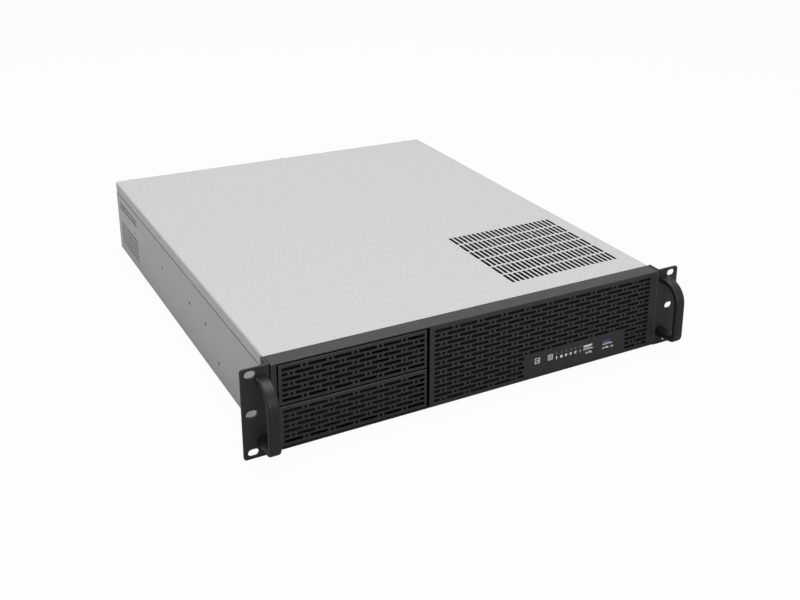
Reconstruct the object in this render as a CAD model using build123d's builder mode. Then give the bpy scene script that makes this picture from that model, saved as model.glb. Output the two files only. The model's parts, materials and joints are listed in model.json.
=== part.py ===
# A 2U rackmount server case, empty: steel body and cover, black perforated front, two bay
# covers, rack ears with handles, and the inner steelwork that the bays and the board need.
#
# X runs across the front (right is +X as seen from the front), Y runs back into the rack,
# Z is up. The sketches use y = 0 at the front face of the rack ears; WORLD_Y then puts the
# origin under the middle of the finished part.
import os
from math import cos, radians, sin

from build123d import *

os.makedirs("parts", exist_ok=True)

# Rack size
RACK_WIDTH = 482.6  # across both ears
EAR_WIDTH = 26.3  # how far an ear stands out beside the body
EAR_HEIGHT = 88.0
EAR_THICKNESS = 2.0
EAR_CORNER = 2.5
EAR_FLANGE = 30.0  # length of the ear's flange along the side wall
EAR_FLANGE_DROP = 22.0  # from the ear's top to the flange's part on the side wall
EAR_BEND = 1.5
SLOT_EDGE = 8.75  # from the ear's outer edge to the middle of its slots
SLOT_SPACING_Z = 38.1  # from the middle slot to the upper and the lower one
SLOT_LENGTH = 10.0
SLOT_HEIGHT = 7.0

# Body
BODY_WIDTH = RACK_WIDTH - 2 * EAR_WIDTH
BODY_HEIGHT = 87.5
BODY_DEPTH = 550.0  # from the ears' front face to the cover's rear flange
SHEET = 1.2  # steel of the tray, cover, rear and front frame
LID_GAP = 0.3  # clearance between the cover's flanges and the walls inside them
LID_FLANGE = 12.5  # height of the cover's flanges
LID_EDGE = 1.0  # rounding of the cover's side bends
SEAM = 1.1  # dark joint under the cover's side flanges

# Bezel
BEZEL_FACE = -1.0  # the bezel stands a little proud of the ears
BEZEL_DEPTH = 17.5
BEZEL_SHEET = 1.2
BEZEL_BOTTOM = 0.8
BEZEL_SIDE_GAP = 0.8  # joint between the bezel and each ear
STILE = 4.9  # upright left of the bay covers
SILL = 2.0  # strip under the bay covers
BAY_WIDTH = 149.0  # opening for the bay covers

# Perforation of the right panel
PANEL_ROWS = 16
PANEL_EDGE_TOP = 6.9  # from the body's top to the first row
PANEL_EDGE_BOTTOM = 7.1  # height of the last row
PANEL_EDGE_LEFT = 5.8
PANEL_EDGE_RIGHT = 9.8
PANEL_PERIOD = 26.86  # one slot and one small hole
PANEL_SLOT = 18.75
PANEL_LEAD = 10.0  # from the rows' left end to the middle of the first slot
SLIT = 2.8  # height of a slot

# Perforation of the bay covers
COVER_ROWS = 7
COVER_ROW_PITCH = 5.0
COVER_COLUMNS = 6
COVER_LAND = 7.16  # plain metal between two slots
COVER_SIDE = 2.6  # plain metal at the ends of a row

# Bay covers
BAY_COVER_GAP = 1.4  # between the two covers
BAY_COVER_SIDE = 1.8  # joint beside a cover
BAY_COVER_BELOW = 0.6  # joint under the lower cover
BAY_COVER_ABOVE = 1.1  # joint over the upper cover
BAY_COVER_SHEET = 1.2
BAY_COVER_RETURN = 9.0
BAY_CLIP_REACH = 12.0  # how far a cover's clips run into the drive cage
BAY_CLIP_HEIGHT = 12.0
BAY_CLIP_SHEET = 1.0

# Control area, at the right of the panel's lowest rows
AREA_EDGE = 40.45  # from the bezel's right side
AREA_WIDTH = 125.65
AREA_ROWS = 5  # rows that stop at the control area
CONTROL_Z = 19.7  # height of the buttons' centres
BUTTON = 7.5
BUTTON_GAP = 0.25
BUTTON_PROUD = 0.6
BUTTON_TRAVEL = 1.5
BUTTON_COLLAR = 1.0
RESET_INSET = 15.2  # from the area's left end
POWER_INSET = 31.0
LED_INSET = 39.0
LED_RISE = 2.8  # above the buttons' centres
LED_PITCH = 5.9
LED_COUNT = 6
LED_DIAMETER = 1.6
LED_GAP = 0.1
LED_SIDES = 8
USB2_INSET = 78.8
USB3_INSET = 103.9
USB_RISE = 0.6
USB_WIDTH = 13.3
USB_HEIGHT = 5.9
USB_WALL = 0.5
USB_LENGTH = 13.4
USB_GAP = 0.3
TONGUE_WIDTH = 11.1
TONGUE_THICKNESS = 1.9
TONGUE_LENGTH = 12.0
BOARD_THICKNESS = 1.6
BOARD_MARGIN = 8.0
BOARD_HEIGHT = 24.0
SWITCH = 6.0
SWITCH_HEIGHT = 3.5
STEM = 3.0
POST_DIAMETER = 5.0

# Handles
HANDLE_INSET = 8.2  # from the body's side to the middle of the bar
HANDLE_WIDTH = 11.2
HANDLE_REACH = 31.0
HANDLE_BAR = 6.0
HANDLE_ROOT = 7.2  # thickness of the upper leg
HANDLE_TOP = 8.5  # below the ear's top
HANDLE_BOTTOM = 13.0
HANDLE_TOP_RADIUS = 20.0
HANDLE_BOTTOM_RADIUS = 9.0
HANDLE_SCREW = 4.0
HANDLE_SCREW_DEPTH = 8.0

# Vent in the cover
VENT_COLUMNS = 23
VENT_ROWS = 6
VENT_PITCH_X = 5.93
VENT_PITCH_Y = 23.1
VENT_SLOT_WIDTH = 3.3
VENT_SLOT_LENGTH = 20.7
VENT_SIDE = 85.7  # from the body's right side to the middle of the grid
VENT_FRONT = 98.7  # from the bezel to the middle of the grid

# Side walls
SIDE_HOLE = 4.2
SIDE_HOLE_Z = 45.5
SIDE_HOLES_Y = (187.0, 241.6, 346.0, 466.6)
LOW_HOLE_Y = 147.5
LOW_HOLE_Z = 19.1
SIDE_VENT_REAR = 54.5  # from the rear to the middle of both groups of vents
SIDE_VENT_SLOT = 82.0
SIDE_VENT_HEIGHT = 2.0
SIDE_VENT_PITCH = 5.0
SIDE_VENT_LOW_Z = 26.0
SIDE_VENT_LOW_ROWS = 6
SIDE_VENT_HIGH_Z = 61.0
SIDE_VENT_HIGH_ROWS = 2

# Rear
THUMB_HEAD = 10.0
THUMB_HEAD_LENGTH = 7.0
THUMB_THREAD = 4.0
THUMB_THREAD_LENGTH = 6.0
THUMB_EDGE = 19.0  # from the body's side to the outer thumbscrews
THUMB_MIDDLE_X = 8.0
THUMB_DROP = 7.0  # below the body's top
SCREW_SIDES = 6  # flats that stand for a small screw's round shank
WINDOW_WIDTH = 158.75
WINDOW_HEIGHT = 44.45
WINDOW_BELOW_BOARD = 2.2
SLOT_COUNT = 7
SLOT_PITCH = 20.32
SLOT_OPENING = 13.0
SLOT_FROM_WINDOW = 15.24
BRACKET_WIDTH = 18.4
BRACKET_SHEET = 0.9
BRACKET_TAPER = 6.0
BANK_HEADROOM = 2.9  # between the slot covers' tabs and the cover
BANK_DEPTH = 12.0
BANK_MARGIN = 3.0
BANK_FLOOR = 3.0
REAR_VENT_SLOTS = 9
REAR_VENT_PITCH = 16.0
REAR_VENT_LENGTH = 11.2
REAR_VENT_WIDTH = 4.0
CORNER_VENT_SLOTS = 5
CORNER_VENT_HEIGHT = 26.0
INLET_WIDTH = 27.0
INLET_HEIGHT = 20.0
INLET_RIM = 3.5
INLET_FLANGE = 2.5
INLET_DEPTH = 22.0
INLET_WALL = 2.0
INLET_SIDE = 27.0  # from the body's right side to the inlet's middle
INLET_Z = 30.0
PIN_WIDTH = 2.0
PIN_HEIGHT = 4.0
PIN_LENGTH = 15.0

# Motherboard
BOARD_X = 150.0  # the motherboard's right edge
WINDOW_INSET = 5.0
ATX_EDGE = 10.16  # from the board's rear edge to the first row of holes
ATX_COLUMNS = (0.0, 157.48, 281.94)
ATX_ROWS = (0.0, 154.94, 227.33)
ATX_SIDE = 16.51  # from the board's side edge to the first column
ATX_REAR_GAP = 1.5  # from the slot covers to the board's rear edge
STANDOFF_HEIGHT = 6.5
STANDOFF_SIZE = 5.0
STANDOFF_BORE = 2.5

# Cages
CAGE_SHEET = 1.0
DRIVE5_FIT = 0.45  # how far the drives' space runs past the bay covers' edges
DRIVE5_DEPTH = 172.0
DRIVE3_WIDTH = 102.4
DRIVE3_DEPTH = 150.0
DRIVE3_HEADROOM = 5.1  # between the cage and the cover
DRIVE3_GAP = 3.0  # between the two cages
CAGE_HOLE = 3.4
CAGE_HOLE_LENGTH = 6.8
CAGE_SCREW_PITCH = 80.0
FRAME_SILL = 14.0  # from the control board's height to the frame's air windows
FRAME_HEAD = 8.0  # from these windows to the cover
PSU_DEPTH = 140.0
PSU_SIDE = 12.55  # from the power supply to the side wall
PSU_HEADROOM = 1.1
PSU_LEAD = 24.0  # from the front frame to the power supply
PSU_GAP = 3.0
PSU_FOOT = 8.0
PSU_RIM = 12.0

# Fans
FAN_HEADROOM = 3.1  # between a fan and the cover
FAN_LIFT = 2.0
FAN_DEPTH = 25.0
FAN_RIM = 2.0  # thinnest wall round the bore
FAN_CORNER = 4.0
FAN_PITCH = 100.0
FAN_COUNT = 3
FAN_ROW_X = 0.0
FAN_SIDES = 24  # flats of the bore
FAN_WALL_GAP = 2.0  # from the power supply's foot to the fan wall's foot
FAN_WALL_FOOT = 12.0
FAN_WINDOW_RIM = 7.0  # how far the wall reaches in front of a fan's edge
FAN_HUB = 32.0
FAN_HUB_DEPTH = 17.0
FAN_PLATE = 2.5
FAN_STRUT = 4.0
FAN_BLADES = 7
FAN_BLADE = 1.6
FAN_CHORD = 20.0
FAN_BLADE_TILT = 40.0
FAN_TIP_GAP = 1.9
FAN_SHAFT = 3.0
FAN_SHAFT_GAP = 0.05
FAN_SHAFT_LENGTH = 2.2
FAN_RUNNING_GAP = 0.3

# Fixings
SCREW_HEAD = 6.5
SCREW_HEAD_HEIGHT = 2.0
SCREW_THREAD = 3.0

# Places that follow from the sizes above
HALF_BODY = BODY_WIDTH / 2
HALF_RACK = RACK_WIDTH / 2
SLOT_X = HALF_RACK - SLOT_EDGE
HANDLE_X = HALF_BODY + HANDLE_INSET
WORLD_Y = (HANDLE_REACH - BODY_DEPTH - THUMB_HEAD_LENGTH) / 2
BEZEL_REAR = BEZEL_FACE + BEZEL_DEPTH
BEZEL_HALF = HALF_BODY - BEZEL_SIDE_GAP
LID_UNDER = BODY_HEIGHT - SHEET
FRAME_REAR = BEZEL_REAR + SHEET
REAR_OUT = BODY_DEPTH - SHEET  # outer face of the rear panel
REAR_IN = REAR_OUT - SHEET
SEAM_Z = BODY_HEIGHT - LID_FLANGE - SEAM
UPPER_OUT = HALF_BODY - SHEET - LID_GAP  # outer face of the wall behind the cover's flange
UPPER_IN = UPPER_OUT - SHEET
INNER_TOP = LID_UNDER - SHEET
EAR_MIDDLE = EAR_HEIGHT / 2
HANDLE_CREST = EAR_HEIGHT - HANDLE_TOP
THUMB_X = (THUMB_EDGE - HALF_BODY, THUMB_MIDDLE_X, HALF_BODY - THUMB_EDGE)
THUMB_Z = BODY_HEIGHT - THUMB_DROP
INLET_X = HALF_BODY - INLET_SIDE
WINDOW_X = BOARD_X - WINDOW_INSET - WINDOW_WIDTH / 2
WINDOW_Z = SHEET + STANDOFF_HEIGHT - WINDOW_BELOW_BOARD + WINDOW_HEIGHT / 2
STOP_LEFT = STILE - BEZEL_HALF  # left edge of the bay opening
STOP_RIGHT = STOP_LEFT + BAY_WIDTH
PANEL_LEFT = STOP_RIGHT + PANEL_EDGE_LEFT
PANEL_RIGHT = BEZEL_HALF - PANEL_EDGE_RIGHT
PANEL_TOP = BODY_HEIGHT - PANEL_EDGE_TOP
ROW_PITCH = (PANEL_TOP - PANEL_EDGE_BOTTOM) / (PANEL_ROWS - 1)
AREA_RIGHT = BEZEL_HALF - AREA_EDGE
AREA_LEFT = AREA_RIGHT - AREA_WIDTH
RESET_X = AREA_LEFT + RESET_INSET
POWER_X = AREA_LEFT + POWER_INSET
LED_X = AREA_LEFT + LED_INSET
LED_Z = CONTROL_Z + LED_RISE
USB2_X = AREA_LEFT + USB2_INSET
USB3_X = AREA_LEFT + USB3_INSET
USB_Z = CONTROL_Z + USB_RISE
BAY_LEFT = STOP_LEFT + BAY_COVER_SIDE
BAY_RIGHT = STOP_RIGHT - BAY_COVER_SIDE
BAY_LOW = BEZEL_BOTTOM + SILL + BAY_COVER_BELOW
BAY_HIGH = BODY_HEIGHT - BEZEL_SHEET - BAY_COVER_ABOVE
BAY_COVER_HEIGHT = (BAY_HIGH - BAY_LOW - BAY_COVER_GAP) / 2
COVER_PERIOD = (BAY_RIGHT - BAY_LEFT - 2 * COVER_SIDE + COVER_LAND) / COVER_COLUMNS
COVER_SLOT = COVER_PERIOD - COVER_LAND
DRIVE5_LEFT = BAY_LEFT - DRIVE5_FIT
DRIVE5_RIGHT = BAY_RIGHT + DRIVE5_FIT
RIM_EDGE = CAGE_SHEET + LID_GAP - DRIVE5_LEFT  # the rim under the cover ends beside the cage
DRIVE3_LEFT = DRIVE5_RIGHT + 2 * CAGE_SHEET + DRIVE3_GAP
DRIVE3_RIGHT = DRIVE3_LEFT + DRIVE3_WIDTH
DRIVE3_TOP = LID_UNDER - DRIVE3_HEADROOM
PSU_LEFT = DRIVE3_RIGHT + CAGE_SHEET + PSU_GAP
PSU_RIGHT = UPPER_IN - PSU_SIDE
PSU_FRONT = FRAME_REAR + PSU_LEAD
PSU_REAR = PSU_FRONT + PSU_DEPTH
PSU_TOP = LID_UNDER - PSU_HEADROOM
WALL_Y = max(FRAME_REAR + DRIVE5_DEPTH, PSU_REAR + SHEET + PSU_FOOT) + FAN_WALL_GAP + FAN_WALL_FOOT
FAN_FRONT = WALL_Y + SHEET
FAN_REAR = FAN_FRONT + FAN_DEPTH
FAN_SIZE = LID_UNDER - FAN_HEADROOM - FAN_LIFT - SHEET
FAN_BORE = FAN_SIZE - 2 * FAN_RIM
FAN_Z = SHEET + FAN_LIFT + FAN_SIZE / 2
PCB_FRONT = BEZEL_FACE + USB_LENGTH
PCB_REAR = PCB_FRONT + BOARD_THICKNESS
PCB_LEFT = RESET_X - BUTTON / 2 - BOARD_MARGIN
PCB_RIGHT = USB3_X + USB_WIDTH / 2 + BOARD_MARGIN
BRACKET_TOP = LID_UNDER - BANK_HEADROOM
FIRST_SLOT_X = WINDOW_X - WINDOW_WIDTH / 2 - SLOT_FROM_WINDOW
BANK_RIGHT = FIRST_SLOT_X + SLOT_PITCH / 2 + BANK_MARGIN
BANK_LEFT = FIRST_SLOT_X - SLOT_PITCH * (SLOT_COUNT - 0.5) - BANK_MARGIN
CORNER_VENT_PITCH = (HALF_BODY + BANK_LEFT) / (CORNER_VENT_SLOTS + 1)
LEDGE_TOP = BRACKET_TOP - BRACKET_SHEET
BANK_WALL = REAR_OUT - BANK_DEPTH  # outer face of the recessed wall with the slots
VENT_X = HALF_BODY - VENT_SIDE
VENT_Y = BEZEL_REAR + VENT_FRONT
SIDE_VENT_Y = BODY_DEPTH - SIDE_VENT_REAR

def level(z):
    """Plane that looks down on the part at height z; its y is the drawing's y."""
    return Plane(origin=(0, WORLD_Y, z), x_dir=(1, 0, 0), z_dir=(0, 0, 1))


def across(y):
    """Upright plane at depth y, seen from the front; its y is the height."""
    return Plane(origin=(0, y + WORLD_Y, 0), x_dir=(1, 0, 0), z_dir=(0, -1, 0))


def lengthwise(x):
    """Upright plane at x, seen from the right; its x runs back and its y is the height."""
    return Plane(origin=(x, WORLD_Y, 0), x_dir=(0, 1, 0), z_dir=(1, 0, 0))


def area(u0, u1, v0, v1, mode=Mode.ADD):
    """Rectangle between four edges, drawn in the sketch that is open."""
    with Locations(((u0 + u1) / 2, (v0 + v1) / 2)):
        Rectangle(u1 - u0, v1 - v0, mode=mode)


def save(piece, name):
    """Label a finished piece and write it to its own file."""
    piece.part.label = name
    export_step(piece.part, f"parts/{name}.step")


def cover_slots(middle):
    """Centres of a bay cover's long and short slots about its middle height."""
    long, short = [], []
    start = BAY_LEFT + COVER_SIDE
    end = BAY_RIGHT - COVER_SIDE
    stub = (COVER_SLOT - COVER_LAND) / 2
    for row in range(COVER_ROWS):
        z = middle + ((COVER_ROWS - 1) / 2 - row) * COVER_ROW_PITCH
        first = start + COVER_SLOT / 2
        if row % 2 == 0:
            long += [(first + k * COVER_PERIOD, z) for k in range(COVER_COLUMNS)]
        else:
            long += [(first + (k + 0.5) * COVER_PERIOD, z) for k in range(COVER_COLUMNS - 1)]
            short += [(start + stub / 2, z), (end - stub / 2, z)]
    return long, short, stub


def panel_slots():
    """Spans (left, right, height) of every slot of the right panel."""
    spans = []
    land = PANEL_PERIOD - PANEL_SLOT
    for row in range(PANEL_ROWS):
        z = PANEL_TOP - row * ROW_PITCH
        middle = PANEL_LEFT + PANEL_LEAD - (row % 2) * PANEL_PERIOD / 2
        stopped = row >= PANEL_ROWS - AREA_ROWS
        while middle - PANEL_SLOT / 2 < PANEL_RIGHT:
            left = max(middle - PANEL_SLOT / 2, PANEL_LEFT)
            right = min(middle + PANEL_SLOT / 2, PANEL_RIGHT)
            pieces = [(left, right)]
            if row % 2 and PANEL_RIGHT < middle + PANEL_PERIOD:
                # the last slot of these rows is divided, so that the row ends in a short slot
                pieces = [(left, PANEL_RIGHT - 2 * land), (PANEL_RIGHT - land, PANEL_RIGHT)]
                middle = PANEL_RIGHT
            if stopped:
                pieces = [(a, min(b, AREA_LEFT)) for a, b in pieces] + [(max(a, AREA_RIGHT), b) for a, b in pieces]
            spans += [(a, b, z) for a, b in pieces if b - a > land / 3]
            middle += PANEL_PERIOD
    return spans


# Tray: floor and side walls folded from one sheet. Each wall steps in near its top, so that
# the cover's flange lies flush with the wall, and ends in a rim under the cover.
def make_tray():
    with BuildPart() as tray:
        with BuildSketch(across(REAR_IN)):
            area(-HALF_BODY, HALF_BODY, 0, SHEET)
            for side in (-1, 1):
                wall = sorted((side * HALF_BODY, side * (HALF_BODY - SHEET)))
                step = sorted((side * HALF_BODY, side * UPPER_IN))
                upper = sorted((side * UPPER_OUT, side * UPPER_IN))
                rim = sorted((side * UPPER_OUT, side * RIM_EDGE))
                area(*wall, 0, SEAM_Z)
                area(*step, SEAM_Z - SHEET, SEAM_Z)
                area(*upper, SEAM_Z - SHEET, LID_UNDER)
                area(*rim, INNER_TOP, LID_UNDER)
        extrude(amount=REAR_IN - BEZEL_REAR)
        with BuildSketch(lengthwise(-HALF_BODY)):
            for z, rows in ((SIDE_VENT_LOW_Z, SIDE_VENT_LOW_ROWS), (SIDE_VENT_HIGH_Z, SIDE_VENT_HIGH_ROWS)):
                with Locations((SIDE_VENT_Y, z)):
                    with GridLocations(1, SIDE_VENT_PITCH, 1, rows):
                        Rectangle(SIDE_VENT_SLOT, SIDE_VENT_HEIGHT)
            with Locations(*[(y, SIDE_HOLE_Z) for y in SIDE_HOLES_Y], (LOW_HOLE_Y, LOW_HOLE_Z)):
                Circle(SIDE_HOLE / 2)
        extrude(amount=BODY_WIDTH, mode=Mode.SUBTRACT)
    save(tray, "chassis_tray")


# Rear panel: closes the tray, with the connector window, the opening for the slot bank,
# a bank of vents and the power inlet's cut-out.
def make_rear_panel():
    with BuildPart() as panel:
        with BuildSketch(across(REAR_OUT)):
            area(-HALF_BODY, HALF_BODY, 0, SEAM_Z)
            area(-UPPER_OUT, UPPER_OUT, SEAM_Z - SHEET, LID_UNDER)
            area(BANK_LEFT, BANK_RIGHT, SHEET, LID_UNDER, mode=Mode.SUBTRACT)
            with Locations((WINDOW_X, WINDOW_Z)):
                Rectangle(WINDOW_WIDTH, WINDOW_HEIGHT, mode=Mode.SUBTRACT)
            with Locations((INLET_X, INLET_Z)):
                Rectangle(INLET_WIDTH, INLET_HEIGHT, mode=Mode.SUBTRACT)
            with Locations((WINDOW_X, (WINDOW_Z + WINDOW_HEIGHT / 2 + LID_UNDER - LID_FLANGE) / 2)):
                with GridLocations(REAR_VENT_PITCH, 1, REAR_VENT_SLOTS, 1):
                    Rectangle(REAR_VENT_LENGTH, REAR_VENT_WIDTH, mode=Mode.SUBTRACT)
            with Locations(((BANK_LEFT - HALF_BODY) / 2, BODY_HEIGHT / 2)):
                with GridLocations(CORNER_VENT_PITCH, 1, CORNER_VENT_SLOTS, 1):
                    Rectangle(REAR_VENT_WIDTH, CORNER_VENT_HEIGHT, mode=Mode.SUBTRACT)
            with Locations(*[(x, THUMB_Z) for x in THUMB_X]):
                RegularPolygon(THUMB_THREAD / 2 + 2 * LID_GAP, SCREW_SIDES, mode=Mode.SUBTRACT)
        extrude(amount=SHEET)
    save(panel, "rear_panel")


# Slot bank: a recessed wall with the expansion slots, and the ledge that the covers' tabs
# are screwed to.
def make_slot_bank():
    with BuildPart() as bank:
        with BuildSketch(lengthwise(BANK_LEFT)):
            area(BANK_WALL - SHEET, BANK_WALL, SHEET, LEDGE_TOP)
            area(BANK_WALL - SHEET, REAR_OUT, LEDGE_TOP - SHEET, LEDGE_TOP)
            area(BANK_WALL - SHEET, REAR_OUT, SHEET, 2 * SHEET)
        extrude(amount=BANK_RIGHT - BANK_LEFT)
        with BuildSketch(level(2 * SHEET)):
            area(BANK_LEFT, BANK_LEFT + SHEET, BANK_WALL, REAR_OUT)
            area(BANK_RIGHT - SHEET, BANK_RIGHT, BANK_WALL, REAR_OUT)
        extrude(amount=LEDGE_TOP - 3 * SHEET)
        with BuildSketch(across(BANK_WALL)):
            for k in range(SLOT_COUNT):
                x = FIRST_SLOT_X - k * SLOT_PITCH
                area(x - SLOT_OPENING / 2, x + SLOT_OPENING / 2, 4 * SHEET + BANK_FLOOR, LEDGE_TOP - 3 * SHEET)
        extrude(amount=SHEET, mode=Mode.SUBTRACT)
        with BuildSketch(level(LEDGE_TOP)):
            with Locations(*[(FIRST_SLOT_X - k * SLOT_PITCH, REAR_OUT - BANK_DEPTH / 2) for k in range(SLOT_COUNT)]):
                RegularPolygon(SCREW_THREAD / 2, SCREW_SIDES)
        extrude(amount=-SHEET, mode=Mode.SUBTRACT)
    save(bank, "slot_bank")


# Slot covers: a flat blade inside each slot, with its tab bent out over the ledge.
def make_slot_cover(k):
    x = FIRST_SLOT_X - k * SLOT_PITCH
    face = BANK_WALL - SHEET
    with BuildPart() as cover:
        with BuildSketch(across(face)):
            with BuildLine():
                Polyline(
                    (x - BRACKET_WIDTH / 2, LEDGE_TOP),
                    (x - BRACKET_WIDTH / 2, SHEET + BANK_FLOOR + BRACKET_TAPER),
                    (x - BRACKET_WIDTH / 4, SHEET + BANK_FLOOR),
                    (x + BRACKET_WIDTH / 4, SHEET + BANK_FLOOR),
                    (x + BRACKET_WIDTH / 2, SHEET + BANK_FLOOR + BRACKET_TAPER),
                    (x + BRACKET_WIDTH / 2, LEDGE_TOP),
                    close=True,
                )
            make_face()
        extrude(amount=BRACKET_SHEET)
        with BuildSketch(level(LEDGE_TOP)):
            area(x - BRACKET_WIDTH / 2, x + BRACKET_WIDTH / 2, face - BRACKET_SHEET, REAR_OUT - 2 * LID_GAP)
            with Locations((x, REAR_OUT - BANK_DEPTH / 2)):
                RegularPolygon(SCREW_THREAD / 2, SCREW_SIDES, mode=Mode.SUBTRACT)
        extrude(amount=BRACKET_SHEET)
    save(cover, f"slot_cover_{k + 1}")


def make_slot_screws():
    with BuildPart() as screws:
        places = [(FIRST_SLOT_X - k * SLOT_PITCH, REAR_OUT - BANK_DEPTH / 2) for k in range(SLOT_COUNT)]
        with BuildSketch(level(BRACKET_TOP)):
            with Locations(*places):
                RegularPolygon(SCREW_HEAD / 2, 6)
        extrude(amount=SCREW_HEAD_HEIGHT)
        with BuildSketch(level(BRACKET_TOP)):
            with Locations(*places):
                RegularPolygon(SCREW_THREAD / 2, SCREW_SIDES)
        extrude(amount=-(BRACKET_SHEET + SHEET))
    save(screws, "slot_cover_screws")


# Cover: flat sheet with a square grid of long slots over the power supply, flanges down
# both sides and a rear flange for the thumbscrews.
def make_cover():
    front = BEZEL_REAR + LID_GAP
    with BuildPart() as cover:
        with BuildSketch(level(LID_UNDER)):
            area(-HALF_BODY, HALF_BODY, front, BODY_DEPTH)
            with Locations((VENT_X, VENT_Y)):
                with GridLocations(VENT_PITCH_X, VENT_PITCH_Y, VENT_COLUMNS, VENT_ROWS):
                    Rectangle(VENT_SLOT_WIDTH, VENT_SLOT_LENGTH, mode=Mode.SUBTRACT)
        extrude(amount=SHEET)
        with BuildSketch(level(LID_UNDER)):
            area(-HALF_BODY, SHEET - HALF_BODY, front, BODY_DEPTH)
            area(HALF_BODY - SHEET, HALF_BODY, front, BODY_DEPTH)
            area(-HALF_BODY, HALF_BODY, REAR_OUT, BODY_DEPTH)
        extrude(amount=-(LID_FLANGE - SHEET))
        bends = cover.edges().filter_by(Axis.Y).group_by(Axis.Z)[-1]
        fillet([bends.sort_by(Axis.X)[0], bends.sort_by(Axis.X)[-1]], LID_EDGE)
        with BuildSketch(across(BODY_DEPTH)):
            with Locations(*[(x, THUMB_Z) for x in THUMB_X]):
                RegularPolygon(THUMB_THREAD / 2, SCREW_SIDES)
        extrude(amount=SHEET, mode=Mode.SUBTRACT)
    save(cover, "top_cover")


def make_thumbscrews():
    with BuildPart() as screws:
        places = [(x, THUMB_Z) for x in THUMB_X]
        with BuildSketch(across(BODY_DEPTH + THUMB_HEAD_LENGTH)):
            with Locations(*places):
                RegularPolygon(THUMB_HEAD / 2, 2 * SCREW_SIDES)
        extrude(amount=THUMB_HEAD_LENGTH)
        with BuildSketch(across(BODY_DEPTH)):
            with Locations(*places):
                RegularPolygon(THUMB_THREAD / 2, SCREW_SIDES)
        extrude(amount=THUMB_THREAD_LENGTH)
    save(screws, "cover_thumbscrews")


# Front frame: the steel front of the case behind the bezel, open at the drive bays and at
# the power supply.
def make_front_frame():
    with BuildPart() as frame:
        with BuildSketch(across(FRAME_REAR)):
            area(-UPPER_IN, UPPER_IN, SHEET, INNER_TOP)
            area(-RIM_EDGE, RIM_EDGE, SHEET, LID_UNDER)
            area(DRIVE5_LEFT, DRIVE5_RIGHT, 3 * SHEET, LID_UNDER - 2 * SHEET, mode=Mode.SUBTRACT)
            air = (BOARD_HEIGHT + FRAME_SILL, LID_UNDER - FRAME_HEAD)
            area(DRIVE3_LEFT, DRIVE3_RIGHT, *air, mode=Mode.SUBTRACT)
            area(PSU_LEFT + PSU_RIM, PSU_RIGHT - PSU_RIM, *air, mode=Mode.SUBTRACT)
        extrude(amount=SHEET)
    save(frame, "front_frame")


# Bezel: black front, open at the left for the bay covers, perforated on the right, with
# a plain area for the controls.
def make_bezel():
    opening = (STOP_LEFT, STOP_RIGHT, BEZEL_BOTTOM + SILL, BODY_HEIGHT - BEZEL_SHEET)
    with BuildPart() as bezel:
        with BuildSketch(across(BEZEL_FACE + BEZEL_SHEET)):
            area(-BEZEL_HALF, BEZEL_HALF, BEZEL_BOTTOM, BODY_HEIGHT)
            area(*opening, mode=Mode.SUBTRACT)
            spans = panel_slots()
            for width in sorted({round(b - a, 3) for a, b, z in spans}):
                same = [((a + b) / 2, z) for a, b, z in spans if round(b - a, 3) == width]
                with Locations(*same):
                    Rectangle(width, SLIT, mode=Mode.SUBTRACT)
            with Locations((RESET_X, CONTROL_Z), (POWER_X, CONTROL_Z)):
                Rectangle(BUTTON + 2 * BUTTON_GAP, BUTTON + 2 * BUTTON_GAP, mode=Mode.SUBTRACT)
            with Locations((USB2_X, USB_Z), (USB3_X, USB_Z)):
                Rectangle(USB_WIDTH + 2 * USB_GAP, USB_HEIGHT + 2 * USB_GAP, mode=Mode.SUBTRACT)
            with Locations(*[(LED_X + k * LED_PITCH, LED_Z) for k in range(LED_COUNT)]):
                RegularPolygon(LED_DIAMETER / 2 + LED_GAP, LED_SIDES, mode=Mode.SUBTRACT)
        extrude(amount=BEZEL_SHEET)
        with BuildSketch(across(BEZEL_REAR)):
            area(-BEZEL_HALF, BEZEL_HALF, BEZEL_BOTTOM, BODY_HEIGHT)
            area(
                BEZEL_SHEET - BEZEL_HALF,
                BEZEL_HALF - BEZEL_SHEET,
                BEZEL_BOTTOM + BEZEL_SHEET,
                BODY_HEIGHT - BEZEL_SHEET,
                mode=Mode.SUBTRACT,
            )
        extrude(amount=BEZEL_DEPTH - BEZEL_SHEET)
    save(bezel, "front_bezel")


# Bay covers: perforated plates with returns on all four sides, and a clip at each end that
# grips the inside of the drive cage.
def make_bay_cover(low, name):
    top = low + BAY_COVER_HEIGHT
    middle = (low + top) / 2
    long, short, stub = cover_slots(middle)
    with BuildPart() as cover:
        with BuildSketch(across(BEZEL_FACE + BAY_COVER_RETURN)):
            area(BAY_LEFT, BAY_RIGHT, low, top)
        extrude(amount=BAY_COVER_RETURN)
        with BuildSketch(across(BEZEL_FACE + BAY_COVER_RETURN)):
            area(
                BAY_LEFT + BAY_COVER_SHEET,
                BAY_RIGHT - BAY_COVER_SHEET,
                low + BAY_COVER_SHEET,
                top - BAY_COVER_SHEET,
            )
        extrude(amount=BAY_COVER_RETURN - BAY_COVER_SHEET, mode=Mode.SUBTRACT)
        with BuildSketch(across(BEZEL_FACE + BAY_COVER_SHEET)):
            with Locations(*long):
                Rectangle(COVER_SLOT, SLIT)
            with Locations(*short):
                Rectangle(stub, SLIT)
        extrude(amount=BAY_COVER_SHEET, mode=Mode.SUBTRACT)
        with BuildSketch(across(FRAME_REAR + BAY_CLIP_REACH)):
            for wall, turn in ((DRIVE5_LEFT, 1), (DRIVE5_RIGHT, -1)):
                area(
                    *sorted((wall, wall + turn * BAY_CLIP_SHEET)),
                    middle - BAY_CLIP_HEIGHT / 2,
                    middle + BAY_CLIP_HEIGHT / 2,
                )
        extrude(amount=FRAME_REAR + BAY_CLIP_REACH - BEZEL_FACE - BAY_COVER_SHEET)
    save(cover, name)


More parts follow.
